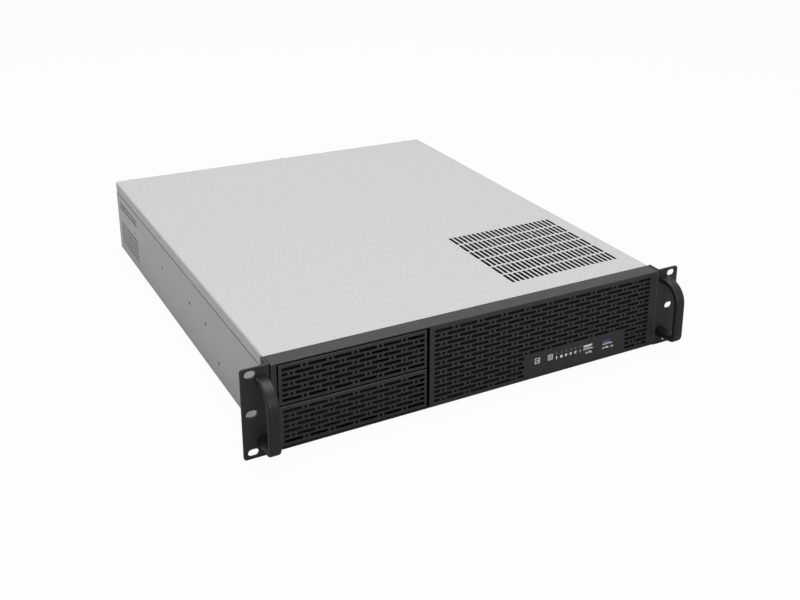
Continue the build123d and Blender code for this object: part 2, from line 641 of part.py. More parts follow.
# Rack ear: front plate with three oblong slots and a flange, full height beside the bezel and
# lower where it is screwed to the side wall.
def make_ear(side, name):
    inner = side * HALF_BODY
    outer = side * HALF_RACK
    bend = side * (HALF_BODY + EAR_THICKNESS)
    with BuildPart() as ear:
        with BuildSketch(across(EAR_THICKNESS)) as front:
            area(*sorted((inner, outer)), 0, EAR_HEIGHT)
            corners = front.vertices().group_by(Axis.X)[0 if side < 0 else -1]
            fillet(corners, EAR_CORNER)
            with Locations(*[(side * SLOT_X, EAR_MIDDLE + k * SLOT_SPACING_Z) for k in (-1, 0, 1)]):
                SlotOverall(SLOT_LENGTH, SLOT_HEIGHT, mode=Mode.SUBTRACT)
            with Locations(*handle_screw_places(side)):
                RegularPolygon(HANDLE_SCREW / 2, SCREW_SIDES, mode=Mode.SUBTRACT)
        extrude(amount=EAR_THICKNESS)
        with BuildSketch(lengthwise(min(inner, bend))):
            area(EAR_THICKNESS, BEZEL_REAR, 0, EAR_HEIGHT)
            area(EAR_THICKNESS, EAR_FLANGE, 0, EAR_HEIGHT - EAR_FLANGE_DROP)
        extrude(amount=EAR_THICKNESS)
        corner = ear.edges().filter_by(Axis.Z).filter_by_position(Axis.X, *sorted((inner - 0.01, inner + 0.01)))
        fillet(corner.sort_by(Axis.Y)[0], EAR_BEND)
        with BuildSketch(lengthwise(min(inner, bend))):
            with Locations(*ear_screw_places()):
                RegularPolygon(SCREW_THREAD / 2, SCREW_SIDES)
        extrude(amount=EAR_THICKNESS, mode=Mode.SUBTRACT)
    save(ear, name)


def ear_screw_places():
    """Depth and height of the screws that hold an ear's flange to the side wall."""
    y = (BEZEL_REAR + EAR_FLANGE) / 2
    return [(y, (EAR_HEIGHT - EAR_FLANGE_DROP) * part) for part in (0.15, 0.5, 0.85)]


def handle_screw_places(side):
    """Middle of each handle leg on the ear's face."""
    return [
        (side * HANDLE_X, HANDLE_CREST - HANDLE_ROOT / 2),
        (side * HANDLE_X, HANDLE_BOTTOM + HANDLE_BAR / 2),
    ]


# Handle: a flat bar bent to a D, wide curve at the top and a tight one at the bottom.
def make_handle(side, name):
    with BuildPart() as handle:
        with BuildSketch(lengthwise(side * HANDLE_X - HANDLE_WIDTH / 2)) as profile:
            with BuildLine():
                outer = FilletPolyline(
                    (0, HANDLE_CREST),
                    (-HANDLE_REACH, HANDLE_CREST),
                    (-HANDLE_REACH, HANDLE_BOTTOM),
                    (0, HANDLE_BOTTOM),
                    radius=[HANDLE_TOP_RADIUS, HANDLE_BOTTOM_RADIUS],
                )
                inner = FilletPolyline(
                    (0, HANDLE_CREST - HANDLE_ROOT),
                    (HANDLE_BAR - HANDLE_REACH, HANDLE_CREST - HANDLE_ROOT),
                    (HANDLE_BAR - HANDLE_REACH, HANDLE_BOTTOM + HANDLE_BAR),
                    (0, HANDLE_BOTTOM + HANDLE_BAR),
                    radius=[HANDLE_TOP_RADIUS - HANDLE_BAR, HANDLE_BOTTOM_RADIUS - HANDLE_BAR],
                )
                Line(outer @ 0, inner @ 0)
                Line(outer @ 1, inner @ 1)
            make_face()
        extrude(amount=HANDLE_WIDTH)
        with BuildSketch(across(0)):
            with Locations(*handle_screw_places(side)):
                RegularPolygon(HANDLE_SCREW / 2, SCREW_SIDES)
        extrude(amount=HANDLE_SCREW_DEPTH, mode=Mode.SUBTRACT)
    save(handle, name)


def make_handle_screws():
    places = handle_screw_places(-1) + handle_screw_places(1)
    with BuildPart() as screws:
        with BuildSketch(across(EAR_THICKNESS + SCREW_HEAD_HEIGHT)):
            with Locations(*places):
                RegularPolygon(SCREW_HEAD / 2, 6)
        extrude(amount=SCREW_HEAD_HEIGHT)
        with BuildSketch(across(EAR_THICKNESS)):
            with Locations(*places):
                RegularPolygon(HANDLE_SCREW / 2, SCREW_SIDES)
        extrude(amount=EAR_THICKNESS + HANDLE_SCREW_DEPTH)
    save(screws, "handle_screws")


def make_ear_screws():
    with BuildPart() as screws:
        for side in (-1, 1):
            start = side * (HALF_BODY + EAR_THICKNESS)
            with BuildSketch(lengthwise(start)):
                with Locations(*ear_screw_places()):
                    RegularPolygon(SCREW_HEAD / 2, 6)
            extrude(amount=side * SCREW_HEAD_HEIGHT)
            with BuildSketch(lengthwise(start)):
                with Locations(*ear_screw_places()):
                    RegularPolygon(SCREW_THREAD / 2, SCREW_SIDES)
            extrude(amount=-side * EAR_THICKNESS)
    save(screws, "ear_screws")


# Drive cages: open boxes with screw holes for the drives in both side plates.
def cage_side_holes(y0, depth, heights):
    """Two screw holes at each height, centred in the cage's depth."""
    y = y0 + depth / 2
    return [(y + s * CAGE_SCREW_PITCH / 2, z) for s in (-1, 1) for z in heights]


def make_drive5_cage():
    y0 = FRAME_REAR
    with BuildPart() as cage:
        with BuildSketch(across(y0 + DRIVE5_DEPTH)):
            area(DRIVE5_LEFT - CAGE_SHEET, DRIVE5_RIGHT + CAGE_SHEET, SHEET, LID_UNDER - LID_GAP)
            area(
                DRIVE5_LEFT,
                DRIVE5_RIGHT,
                SHEET + CAGE_SHEET,
                LID_UNDER - LID_GAP - CAGE_SHEET,
                mode=Mode.SUBTRACT,
            )
        extrude(amount=DRIVE5_DEPTH)
        with BuildSketch(lengthwise(DRIVE5_LEFT - CAGE_SHEET)):
            heights = [BAY_LOW + BAY_COVER_HEIGHT * part for part in (0.25, 1.25)]
            with Locations(*cage_side_holes(y0, DRIVE5_DEPTH, heights)):
                Rectangle(CAGE_HOLE_LENGTH, CAGE_HOLE)
        extrude(amount=DRIVE5_RIGHT - DRIVE5_LEFT + 2 * CAGE_SHEET, mode=Mode.SUBTRACT)
    save(cage, "drive_cage_5in")


def make_drive3_cage():
    y0 = FRAME_REAR
    top = DRIVE3_TOP
    with BuildPart() as cage:
        with BuildSketch(across(y0 + DRIVE3_DEPTH)):
            area(DRIVE3_LEFT - CAGE_SHEET, DRIVE3_RIGHT + CAGE_SHEET, SHEET, top)
            area(DRIVE3_LEFT, DRIVE3_RIGHT, SHEET + CAGE_SHEET, top - CAGE_SHEET, mode=Mode.SUBTRACT)
        extrude(amount=DRIVE3_DEPTH)
        with BuildSketch(lengthwise(DRIVE3_LEFT - CAGE_SHEET)):
            heights = [SHEET + (DRIVE3_TOP - SHEET) * part for part in (0.12, 0.46, 0.8)]
            with Locations(*cage_side_holes(y0, DRIVE3_DEPTH, heights)):
                Rectangle(CAGE_HOLE_LENGTH, CAGE_HOLE)
        extrude(amount=DRIVE3_WIDTH + 2 * CAGE_SHEET, mode=Mode.SUBTRACT)
    save(cage, "drive_cage_3in")


# Power supply bracket: an upright frame behind the supply on a foot.
def make_psu_bracket():
    with BuildPart() as bracket:
        with BuildSketch(across(PSU_REAR + SHEET)):
            area(PSU_LEFT, PSU_RIGHT, SHEET, PSU_TOP)
            area(
                PSU_LEFT + PSU_RIM,
                PSU_RIGHT - PSU_RIM,
                SHEET + PSU_RIM,
                PSU_TOP - PSU_RIM,
                mode=Mode.SUBTRACT,
            )
        extrude(amount=SHEET)
        with BuildSketch(level(SHEET)):
            area(PSU_LEFT, PSU_RIGHT, PSU_REAR + SHEET, PSU_REAR + SHEET + PSU_FOOT)
        extrude(amount=SHEET)
    save(bracket, "psu_bracket")


# Fan wall: plate across the case with one square window for each fan.
def fan_places():
    return [(FAN_ROW_X + (k - (FAN_COUNT - 1) / 2) * FAN_PITCH, FAN_Z) for k in range(FAN_COUNT)]


def make_fan_wall():
    half = FAN_PITCH * FAN_COUNT / 2 + FAN_WALL_FOOT
    with BuildPart() as wall:
        with BuildSketch(across(WALL_Y + SHEET)):
            area(FAN_ROW_X - half, FAN_ROW_X + half, SHEET, LID_UNDER - LID_GAP)
            with Locations(*fan_places()):
                window = FAN_SIZE - 2 * FAN_WINDOW_RIM
                Rectangle(window, window, mode=Mode.SUBTRACT)
        extrude(amount=SHEET)
        with BuildSketch(level(SHEET)):
            area(FAN_ROW_X - half, FAN_ROW_X + half, WALL_Y - FAN_WALL_FOOT, WALL_Y)
        extrude(amount=SHEET)
    save(wall, "fan_wall")


# Fan frame: square housing with a round bore, and a motor plate on three struts at the back.
def make_fan_frame(k):
    x, z = fan_places()[k]
    with BuildPart() as frame:
        with BuildSketch(across(FAN_REAR)) as outline:
            with Locations((x, z)):
                Rectangle(FAN_SIZE, FAN_SIZE)
            chamfer(outline.vertices(), FAN_CORNER)
            with Locations((x, z)):
                RegularPolygon(FAN_BORE / 2, FAN_SIDES, mode=Mode.SUBTRACT)
        extrude(amount=FAN_DEPTH)
        with BuildSketch(across(FAN_REAR)):
            with Locations((x, z)):
                RegularPolygon(FAN_HUB / 2, 2 * FAN_BLADES)
                with PolarLocations(FAN_BORE / 4, 3):
                    Rectangle(FAN_BORE / 2, FAN_STRUT)
        extrude(amount=FAN_PLATE)
        with BuildSketch(across(FAN_REAR)):
            with Locations((x, z)):
                Circle(FAN_SHAFT / 2 + FAN_SHAFT_GAP)
        extrude(amount=FAN_PLATE, mode=Mode.SUBTRACT)
    save(frame, f"fan_frame_{k + 1}")


# Fan rotor: hub with seven pitched blades, turning on a shaft in the motor plate.
def make_fan_rotor(k):
    x, z = fan_places()[k]
    rear = FAN_REAR - FAN_PLATE - FAN_RUNNING_GAP
    tip = FAN_BORE / 2 - FAN_TIP_GAP
    with BuildPart() as rotor:
        with BuildSketch(across(rear)):
            with Locations((x, z)):
                RegularPolygon(FAN_HUB / 2, 2 * FAN_BLADES)
        extrude(amount=FAN_HUB_DEPTH)
        with BuildSketch(across(rear)):
            with Locations((x, z)):
                Circle(FAN_SHAFT / 2)
        extrude(amount=-FAN_SHAFT_LENGTH)
        middle = (x, rear - FAN_HUB_DEPTH / 2 + WORLD_Y, z)
        for n in range(FAN_BLADES):
            turn = radians(360 / FAN_BLADES * n)
            root = Plane(origin=middle, x_dir=(0, 1, 0), z_dir=(cos(turn), 0, sin(turn)))
            with BuildSketch(root):
                Rectangle(FAN_CHORD, FAN_BLADE, rotation=FAN_BLADE_TILT)
            extrude(amount=tip)
    save(rotor, f"fan_rotor_{k + 1}")


# Standoffs for the motherboard, in the ATX pattern.
def atx_places():
    rear = BANK_WALL - SHEET - BRACKET_SHEET - ATX_REAR_GAP - ATX_EDGE
    right = BOARD_X - ATX_SIDE
    return [(right - a, rear - b) for a in ATX_COLUMNS for b in ATX_ROWS]


def make_standoffs():
    with BuildPart() as posts:
        with BuildSketch(level(SHEET)):
            with Locations(*atx_places()):
                RegularPolygon(STANDOFF_SIZE / 2, 6)
                Circle(STANDOFF_BORE / 2, mode=Mode.SUBTRACT)
        extrude(amount=STANDOFF_HEIGHT)
    save(posts, "board_standoffs")


# Front control board with its posts and push switches.
def post_places():
    z = CONTROL_Z
    low = z - BOARD_HEIGHT / 2 + POST_DIAMETER
    high = z + BOARD_HEIGHT / 2 - POST_DIAMETER
    return [(x, v) for x in (PCB_LEFT + POST_DIAMETER, PCB_RIGHT - POST_DIAMETER) for v in (low, high)]


def make_control_board():
    with BuildPart() as board:
        with BuildSketch(across(PCB_REAR)):
            area(PCB_LEFT, PCB_RIGHT, CONTROL_Z - BOARD_HEIGHT / 2, CONTROL_Z + BOARD_HEIGHT / 2)
        extrude(amount=BOARD_THICKNESS)
    save(board, "control_board")
    with BuildPart() as posts:
        with BuildSketch(across(BEZEL_REAR)):
            with Locations(*post_places()):
                RegularPolygon(POST_DIAMETER / 2, 6)
        extrude(amount=BEZEL_REAR - PCB_REAR)
    save(posts, "control_board_posts")
    with BuildPart() as switches:
        with BuildSketch(across(PCB_FRONT)):
            with Locations((RESET_X, CONTROL_Z), (POWER_X, CONTROL_Z)):
                Rectangle(SWITCH, SWITCH)
        extrude(amount=SWITCH_HEIGHT)
    save(switches, "button_switches")


# Push button: square cap with a collar behind the panel and a stem to its switch.
def make_button(x, name):
    front = BEZEL_FACE - BUTTON_PROUD
    back = BEZEL_FACE + BEZEL_SHEET
    stop = PCB_FRONT - SWITCH_HEIGHT - BUTTON_TRAVEL - LID_GAP
    with BuildPart() as button:
        with BuildSketch(across(back)):
            with Locations((x, CONTROL_Z)):
                Rectangle(BUTTON, BUTTON)
        extrude(amount=back - front)
        face = button.faces().sort_by(Axis.Y)[0]
        chamfer(face.edges(), BUTTON_PROUD / 2)
        with BuildSketch(across(back + BEZEL_SHEET)):
            with Locations((x, CONTROL_Z)):
                Rectangle(BUTTON + 2 * BUTTON_COLLAR, BUTTON + 2 * BUTTON_COLLAR)
        extrude(amount=BEZEL_SHEET)
        with BuildSketch(across(stop)):
            with Locations((x, CONTROL_Z)):
                Rectangle(STEM, STEM)
        extrude(amount=stop - back - BEZEL_SHEET)
    save(button, name)


def make_leds():
    with BuildPart() as leds:
        with BuildSketch(across(PCB_FRONT)):
            with Locations(*[(LED_X + k * LED_PITCH, LED_Z) for k in range(LED_COUNT)]):
                RegularPolygon(LED_DIAMETER / 2, LED_SIDES)
        extrude(amount=PCB_FRONT - BEZEL_FACE)
    save(leds, "status_leds")


# USB sockets: a metal shell, open at the front, with a tongue inside.
def make_usb(x, name):
    with BuildPart() as shell:
        with BuildSketch(across(PCB_FRONT)):
            with Locations((x, USB_Z)):
                Rectangle(USB_WIDTH, USB_HEIGHT)
        extrude(amount=USB_LENGTH)
        with BuildSketch(across(PCB_FRONT - USB_WALL)):
            with Locations((x, USB_Z)):
                Rectangle(USB_WIDTH - 2 * USB_WALL, USB_HEIGHT - 2 * USB_WALL)
        extrude(amount=USB_LENGTH - USB_WALL, mode=Mode.SUBTRACT)
    save(shell, f"{name}_port")
    with BuildPart() as tongue:
        with BuildSketch(across(PCB_FRONT - USB_WALL)):
            with Locations((x, USB_Z + TONGUE_THICKNESS / 2)):
                Rectangle(TONGUE_WIDTH, TONGUE_THICKNESS)
        extrude(amount=TONGUE_LENGTH)
    save(tongue, f"{name}_tongue")


# Power inlet: a flanged cup through the rear panel with three blades.
def make_inlet():
    with BuildPart() as inlet:
        with BuildSketch(across(REAR_OUT + INLET_FLANGE)):
            with Locations((INLET_X, INLET_Z)):
                Rectangle(INLET_WIDTH + 2 * INLET_RIM, INLET_HEIGHT + 2 * INLET_RIM)
        extrude(amount=INLET_FLANGE)
        with BuildSketch(across(REAR_OUT)):
            with Locations((INLET_X, INLET_Z)):
                Rectangle(INLET_WIDTH, INLET_HEIGHT)
        extrude(amount=INLET_DEPTH)
        with BuildSketch(across(REAR_OUT + INLET_FLANGE)):
            with Locations((INLET_X, INLET_Z)):
                Rectangle(INLET_WIDTH - 2 * INLET_WALL, INLET_HEIGHT - 2 * INLET_WALL)
        extrude(amount=INLET_FLANGE + INLET_DEPTH - INLET_WALL, mode=Mode.SUBTRACT)
    save(inlet, "power_inlet")
    floor = REAR_OUT - INLET_DEPTH + INLET_WALL
    with BuildPart() as pins:
        with BuildSketch(across(floor + PIN_LENGTH)):
            with Locations(
                (INLET_X - INLET_WIDTH / 4, INLET_Z - PIN_HEIGHT / 2),
                (INLET_X, INLET_Z + PIN_HEIGHT / 2),
                (INLET_X + INLET_WIDTH / 4, INLET_Z - PIN_HEIGHT / 2),
            ):
                Rectangle(PIN_WIDTH, PIN_HEIGHT)
        extrude(amount=PIN_LENGTH)
    save(pins, "inlet_pins")


make_tray()
make_rear_panel()
make_slot_bank()
for slot in range(SLOT_COUNT):
    make_slot_cover(slot)
make_slot_screws()
make_cover()
make_thumbscrews()
make_front_frame()
make_bezel()
make_bay_cover(BAY_LOW, "bay_cover_lower")
make_bay_cover(BAY_HIGH - BAY_COVER_HEIGHT, "bay_cover_upper")
make_ear(-1, "ear_left")
make_ear(1, "ear_right")
make_handle(-1, "handle_left")
make_handle(1, "handle_right")
make_handle_screws()
make_ear_screws()
make_drive5_cage()
make_drive3_cage()
make_psu_bracket()
make_fan_wall()
for fan in range(FAN_COUNT):
    make_fan_frame(fan)
    make_fan_rotor(fan)
make_standoffs()
make_control_board()
make_button(RESET_X, "reset_button")
make_button(POWER_X, "power_button")
make_leds()
make_usb(USB2_X, "usb2")
make_usb(USB3_X, "usb3")
make_inlet()
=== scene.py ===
# %% [markdown]
# # An empty server case for a rack
#
# The case is folded from galvanised steel, with a black powder-coated front. The model of its
# solids is finished already. This script loads it as a fixed frame, gives every part its
# finish, and replaces the parts whose look lives in detail that solids leave out: the
# perforated front, the bay covers, the cover with its vent, and the bowed handles. It adds a
# dust filter behind the front and the printed signs.

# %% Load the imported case
import json
from math import copysign, cos, pi, radians, sin, sqrt

import bmesh
import bpy
from mathutils import Matrix, Vector


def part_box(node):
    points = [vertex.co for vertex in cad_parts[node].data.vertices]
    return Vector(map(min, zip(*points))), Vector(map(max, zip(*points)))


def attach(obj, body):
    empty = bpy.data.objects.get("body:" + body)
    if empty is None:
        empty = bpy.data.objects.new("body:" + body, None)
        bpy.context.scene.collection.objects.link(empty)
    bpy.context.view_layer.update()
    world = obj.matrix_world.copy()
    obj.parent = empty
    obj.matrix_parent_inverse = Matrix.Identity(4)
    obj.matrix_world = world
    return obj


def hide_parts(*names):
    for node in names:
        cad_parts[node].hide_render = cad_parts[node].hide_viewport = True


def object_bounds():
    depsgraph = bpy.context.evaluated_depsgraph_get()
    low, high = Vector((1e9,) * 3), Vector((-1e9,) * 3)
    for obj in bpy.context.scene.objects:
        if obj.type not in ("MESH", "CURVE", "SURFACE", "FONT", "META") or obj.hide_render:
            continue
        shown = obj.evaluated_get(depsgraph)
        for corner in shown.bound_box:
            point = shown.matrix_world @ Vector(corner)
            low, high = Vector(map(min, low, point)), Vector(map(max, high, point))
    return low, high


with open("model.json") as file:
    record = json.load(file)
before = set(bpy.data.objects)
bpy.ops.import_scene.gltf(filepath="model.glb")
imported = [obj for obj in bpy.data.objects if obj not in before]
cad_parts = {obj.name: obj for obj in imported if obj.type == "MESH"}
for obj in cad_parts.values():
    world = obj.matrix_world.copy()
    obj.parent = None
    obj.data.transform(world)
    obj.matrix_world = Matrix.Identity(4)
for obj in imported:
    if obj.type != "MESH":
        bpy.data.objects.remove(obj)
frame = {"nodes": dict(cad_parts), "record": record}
case_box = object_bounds()
rounded_box = [[round(c, 3) for c in corner] for corner in case_box]
print("packed case:", len(frame["nodes"]), "nodes, box", rounded_box)

# %% [markdown]
# ## One set of coordinates
#
# A sheet-metal worker measures such a case from the rack ears: across the front, back from
# the ears' face, and up from the floor. `at` turns such a place, in millimetres, into metres
# in the frame of the model. The ears' face is read from the model, so nothing is fitted by eye.

# %% Places in millimetres
MM = 0.001
NEAR = 0.01  # places that lie closer together than this, in millimetres, are one place
EAR_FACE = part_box("ear_left")[0][1]


def at(x, y, z):
    """A place measured from the middle of the ears' face, in millimetres."""
    return Vector((x * MM, EAR_FACE + y * MM, z * MM))


# stands a drawing that was made flat on the floor upright, its top side to the front
UPRIGHT = Matrix.Rotation(pi / 2, 4, "X")
print("ears' face at y", round(EAR_FACE, 4))

# %% [markdown]
# ## Camera
#
# The photograph was taken from the front left and above. The camera's place, turn, tilt and
# small roll were solved from the rack's standard sizes. The lens shift only moves the case to
# its place in the picture.

# %% Camera
CAMERA_PLACE = at(-489.64, -797.61, 535.44)
TURN, TILT, ROLL = radians(-32.2514), radians(18.8055), radians(1.6663)
back = Vector((sin(TURN) * cos(TILT), -cos(TURN) * cos(TILT), sin(TILT)))
level_right = Vector((cos(TURN), sin(TURN), 0))
level_up = back.cross(level_right)
right = cos(ROLL) * level_right + sin(ROLL) * level_up
up = cos(ROLL) * level_up - sin(ROLL) * level_right

lens = bpy.data.cameras.new("camera")
lens.lens = 48.40
lens.sensor_width = 36
lens.shift_x = -0.1251
lens.shift_y = -0.1433
lens.clip_start = 0.01
camera = bpy.data.objects.new("camera", lens)
bpy.context.scene.collection.objects.link(camera)
aim = Matrix((right, up, back)).transposed().to_4x4()
camera.matrix_world = Matrix.Translation(CAMERA_PLACE) @ aim
bpy.context.scene.camera = camera
print("camera at", [round(c, 3) for c in camera.matrix_world.translation])

# %% [markdown]
# ## Studio
#
# The photograph has a white ground and soft light from above. A white floor and a white sky
# would flood the black front with light, so the sky is white only for what looks straight at
# it or mirrors it, and lights the case at a lower level. The floor glows white for the camera
# alone. The rest of it is matt grey and takes the case's shadow.

# %% Floor and sky
SKY_LIGHT = 0.3
FLOOR_GLOW = 0.955  # the glow's share in what the camera sees of the floor
FLOOR_GREY = 0.6
FLOOR_RADIUS = 6.0  # metres


def node(tree, kind, **settings):
    """Adds one shader node, with its inputs and settings given by name."""
    made = tree.nodes.new(kind)
    for key, value in settings.items():
        if key in made.inputs:
            made.inputs[key].default_value = value
        else:
            setattr(made, key, value)
    return made


world = bpy.data.worlds.new("sky")
bpy.context.scene.world = world
world.use_nodes = True
tree = world.node_tree
tree.nodes.clear()
ray = node(tree, "ShaderNodeLightPath")
seen = node(tree, "ShaderNodeMath", operation="MAXIMUM")
sky_level = node(tree, "ShaderNodeMapRange")
sky_level.inputs["To Min"].default_value = SKY_LIGHT
sky_level.inputs["To Max"].default_value = 1.0
sky = node(tree, "ShaderNodeBackground", Color=(1, 1, 1, 1))
sky_out = node(tree, "ShaderNodeOutputWorld")
tree.links.new(ray.outputs["Is Camera Ray"], seen.inputs[0])
tree.links.new(ray.outputs["Is Glossy Ray"], seen.inputs[1])
tree.links.new(seen.outputs[0], sky_level.inputs["Value"])
tree.links.new(sky_level.outputs["Result"], sky.inputs["Strength"])
tree.links.new(sky.outputs[0], sky_out.inputs["Surface"])

floor_finish = bpy.data.materials.new("white studio floor")
floor_finish.use_nodes = True
tree = floor_finish.node_tree
tree.nodes.clear()
matt = node(tree, "ShaderNodeBsdfDiffuse", Color=(FLOOR_GREY, FLOOR_GREY, FLOOR_GREY, 1))
glow = node(tree, "ShaderNodeEmission", Color=(1, 1, 1, 1), Strength=1.0)
ray = node(tree, "ShaderNodeLightPath")
share = node(tree, "ShaderNodeMath", operation="MULTIPLY")
share.inputs[1].default_value = FLOOR_GLOW
blend = node(tree, "ShaderNodeMixShader")
floor_out = node(tree, "ShaderNodeOutputMaterial")
tree.links.new(ray.outputs["Is Camera Ray"], share.inputs[0])
tree.links.new(share.outputs[0], blend.inputs[0])
tree.links.new(matt.outputs[0], blend.inputs[1])
tree.links.new(glow.outputs[0], blend.inputs[2])
tree.links.new(blend.outputs[0], floor_out.inputs["Surface"])

shape = bmesh.new()
bmesh.ops.create_circle(shape, cap_ends=True, segments=64, radius=FLOOR_RADIUS)
floor_mesh = bpy.data.meshes.new("floor")
shape.to_mesh(floor_mesh)
shape.free()
floor_mesh.materials.append(floor_finish)
floor = bpy.data.objects.new("floor", floor_mesh)
bpy.context.scene.collection.objects.link(floor)
print("sky lights the case at", SKY_LIGHT)

# %% [markdown]
# Three square softboxes light the case: a wide one overhead for the cover, one in front for
# the black sheet, and a weak one at the left that lifts the rear of the side wall. Their
# places, aims and sizes are in metres and their power is in watts.

# %% Lamps
LAMPS = {
    "overhead softbox": {"place": (0.1, 0.15, 1.9), "aim": (0.0, 0.0, 0.0),
                         "size": 1.6, "power": 28},
    "front softbox": {"place": (-0.3, -2.2, 0.9), "aim": (0.0, -0.25, 0.05),
                      "size": 1.0, "power": 13},
    "side softbox": {"place": (-1.5, 1.1, 0.7), "aim": (-0.2, 0.25, 0.05),
                     "size": 0.6, "power": 2},
}
for name, lamp in LAMPS.items():
    light = bpy.data.lights.new(name, "AREA")
    light.shape = "SQUARE"
    light.size = lamp["size"]
    light.energy = lamp["power"]
    hung = bpy.data.objects.new(name, light)
    hung.location = lamp["place"]
    look = Vector(lamp["aim"]) - Vector(lamp["place"])
    hung.rotation_euler = look.to_track_quat("-Z", "Y").to_euler()
    bpy.context.scene.collection.objects.link(hung)
bpy.context.scene.view_settings.view_transform = "Standard"
print("lamps:", ", ".join(LAMPS))

# %% [markdown]
# ## Finishes
#
# Sheet steel, powder coat, moulded plastic and plated metal differ in three ways: their
# colour, how sharply they mirror, and their grain. One helper builds a shader with a fine
# grain that changes the colour a little, a coarser cloud that changes the gloss, and a bump.
# Each finish then only says how large and how strong these are.

# %% A helper for finishes
GLOSS_SPREAD = 0.05  # how far the cloud takes the roughness up and down
CLOUD_SHARE = 0.35  # how much of the colour's change follows the cloud
RELIEF = 0.0002  # height of the bump in metres
NOISE_LOW, NOISE_HIGH = 0.3, 0.7  # where most of a noise texture's values lie


def finish(name, colour, *, metal=0.0, gloss=0.5, grain=0.8, tone=0.06, cloud=12.0, bump=0.02,
           spec=0.5):
    """A material with fine grain and slow cloudiness, whose sizes are in millimetres.
    `gloss` is the roughness round which the cloud moves."""
    made = bpy.data.materials.new(name)
    made.use_nodes = True
    tree = made.node_tree
    shader = tree.nodes["Principled BSDF"]
    shader.inputs["Metallic"].default_value = metal
    shader.inputs["Specular IOR Level"].default_value = spec
    place = node(tree, "ShaderNodeTexCoord")
    # a noise texture's scale is the number of grains in a metre
    fine = node(tree, "ShaderNodeTexNoise", Scale=1000 / grain, Detail=3.0, Roughness=0.6)
    slow = node(tree, "ShaderNodeTexNoise", Scale=1000 / cloud, Detail=2.0, Roughness=0.5)
    both = node(tree, "ShaderNodeMix", data_type="FLOAT", Factor=CLOUD_SHARE)
    ramp = node(tree, "ShaderNodeValToRGB")
    dull = node(tree, "ShaderNodeMapRange")
    relief = node(tree, "ShaderNodeBump", Strength=bump, Distance=RELIEF)
    ramp.color_ramp.elements[0].position = NOISE_LOW
    ramp.color_ramp.elements[1].position = NOISE_HIGH
    ramp.color_ramp.elements[0].color = [c * (1 - tone) for c in colour] + [1]
    ramp.color_ramp.elements[1].color = [min(c * (1 + tone), 1) for c in colour] + [1]
    dull.inputs["From Min"].default_value = NOISE_LOW
    dull.inputs["From Max"].default_value = NOISE_HIGH
    dull.inputs["To Min"].default_value = gloss - GLOSS_SPREAD
    dull.inputs["To Max"].default_value = gloss + GLOSS_SPREAD
    tree.links.new(place.outputs["Object"], fine.inputs["Vector"])
    tree.links.new(place.outputs["Object"], slow.inputs["Vector"])
    tree.links.new(fine.outputs["Fac"], both.inputs["A"])
    tree.links.new(slow.outputs["Fac"], both.inputs["B"])
    tree.links.new(both.outputs["Result"], ramp.inputs["Fac"])
    tree.links.new(slow.outputs["Fac"], dull.inputs["Value"])
    tree.links.new(fine.outputs["Fac"], relief.inputs["Height"])
    tree.links.new(ramp.outputs["Color"], shader.inputs["Base Color"])
    tree.links.new(dull.outputs["Result"], shader.inputs["Roughness"])
    tree.links.new(relief.outputs["Normal"], shader.inputs["Normal"])
    return made


ZINC = {"metal": 0.3, "gloss": 0.5, "grain": 0.8, "tone": 0.13, "cloud": 3.0, "bump": 0.12}
COAT = {"gloss": 0.5, "grain": 0.35, "tone": 0.2, "bump": 0.35, "spec": 0.32}
FINISHES = {
    "galvanised_steel": finish("galvanised steel", (0.54, 0.54, 0.54), **ZINC),
    "black_steel": finish("black powder coat", (0.024, 0.024, 0.025), **COAT),
    "black_handle": finish("black enamel", (0.013, 0.013, 0.013),
                           gloss=0.4, grain=1.5, tone=0.1, bump=0.04, spec=0.28),
    "black_plastic": finish("moulded black plastic", (0.02, 0.02, 0.021),
                            gloss=0.45, grain=0.5, bump=0.15),
    "button_plastic": finish("button plastic", (0.025, 0.025, 0.027),
                             gloss=0.35, grain=0.5, bump=0.05),
    "lamp_plastic": finish("light guide", (0.26, 0.26, 0.26),
                           gloss=0.2, grain=0.4, bump=0.02),
    "circuit_board": finish("solder mask", (0.006, 0.035, 0.015),
                            gloss=0.25, grain=0.3, tone=0.2, bump=0.05),
    "plated_steel": finish("nickel plate", (0.5, 0.5, 0.51),
                           metal=1.0, gloss=0.3, grain=0.4, tone=0.03),
    "brass_post": finish("turned brass", (0.66, 0.48, 0.2),
                         metal=1.0, gloss=0.3, grain=0.3, tone=0.05),
    "white_plastic": finish("white moulding", (0.9, 0.9, 0.89),
                            gloss=0.4, grain=0.4, tone=0.02),
    "blue_plastic": finish("blue moulding", (0.01, 0.05, 0.22),
                           gloss=0.4, grain=0.4, tone=0.04),
}
PRINT = finish("white print", (0.95, 0.95, 0.95), gloss=0.55, grain=0.2, tone=0.03, bump=0.02)
print(len(FINISHES), "finishes from the record's slots, and the print")

# %% [markdown]
# The tray and the steelwork inside it are of the same steel, but little light reaches them, and
# the photograph shows no light through any opening. So the inside gets painted shade, a darker
# grey in its colour. The tray is one part with a lit and a shaded side, so its shader asks how
# far
# a point lies from the middle: the outer faces keep the steel's colour, and the inside, and the
# groove below the cover's flange with it, get painted shade. The sockets' shells get a painted
# highlight along their lower edge and painted shade above it.

# %% Painted shade inside and on the sockets
TRAY_SIDE, TRAY_FLOOR = 214.6, 0.3  # just inside the tray's outer faces
# the sockets' shells have a painted highlight up to this height and painted shade above it
SOCKET_HIGHLIGHT_TOP = 17.9  # height up to which the sockets' shells are bright


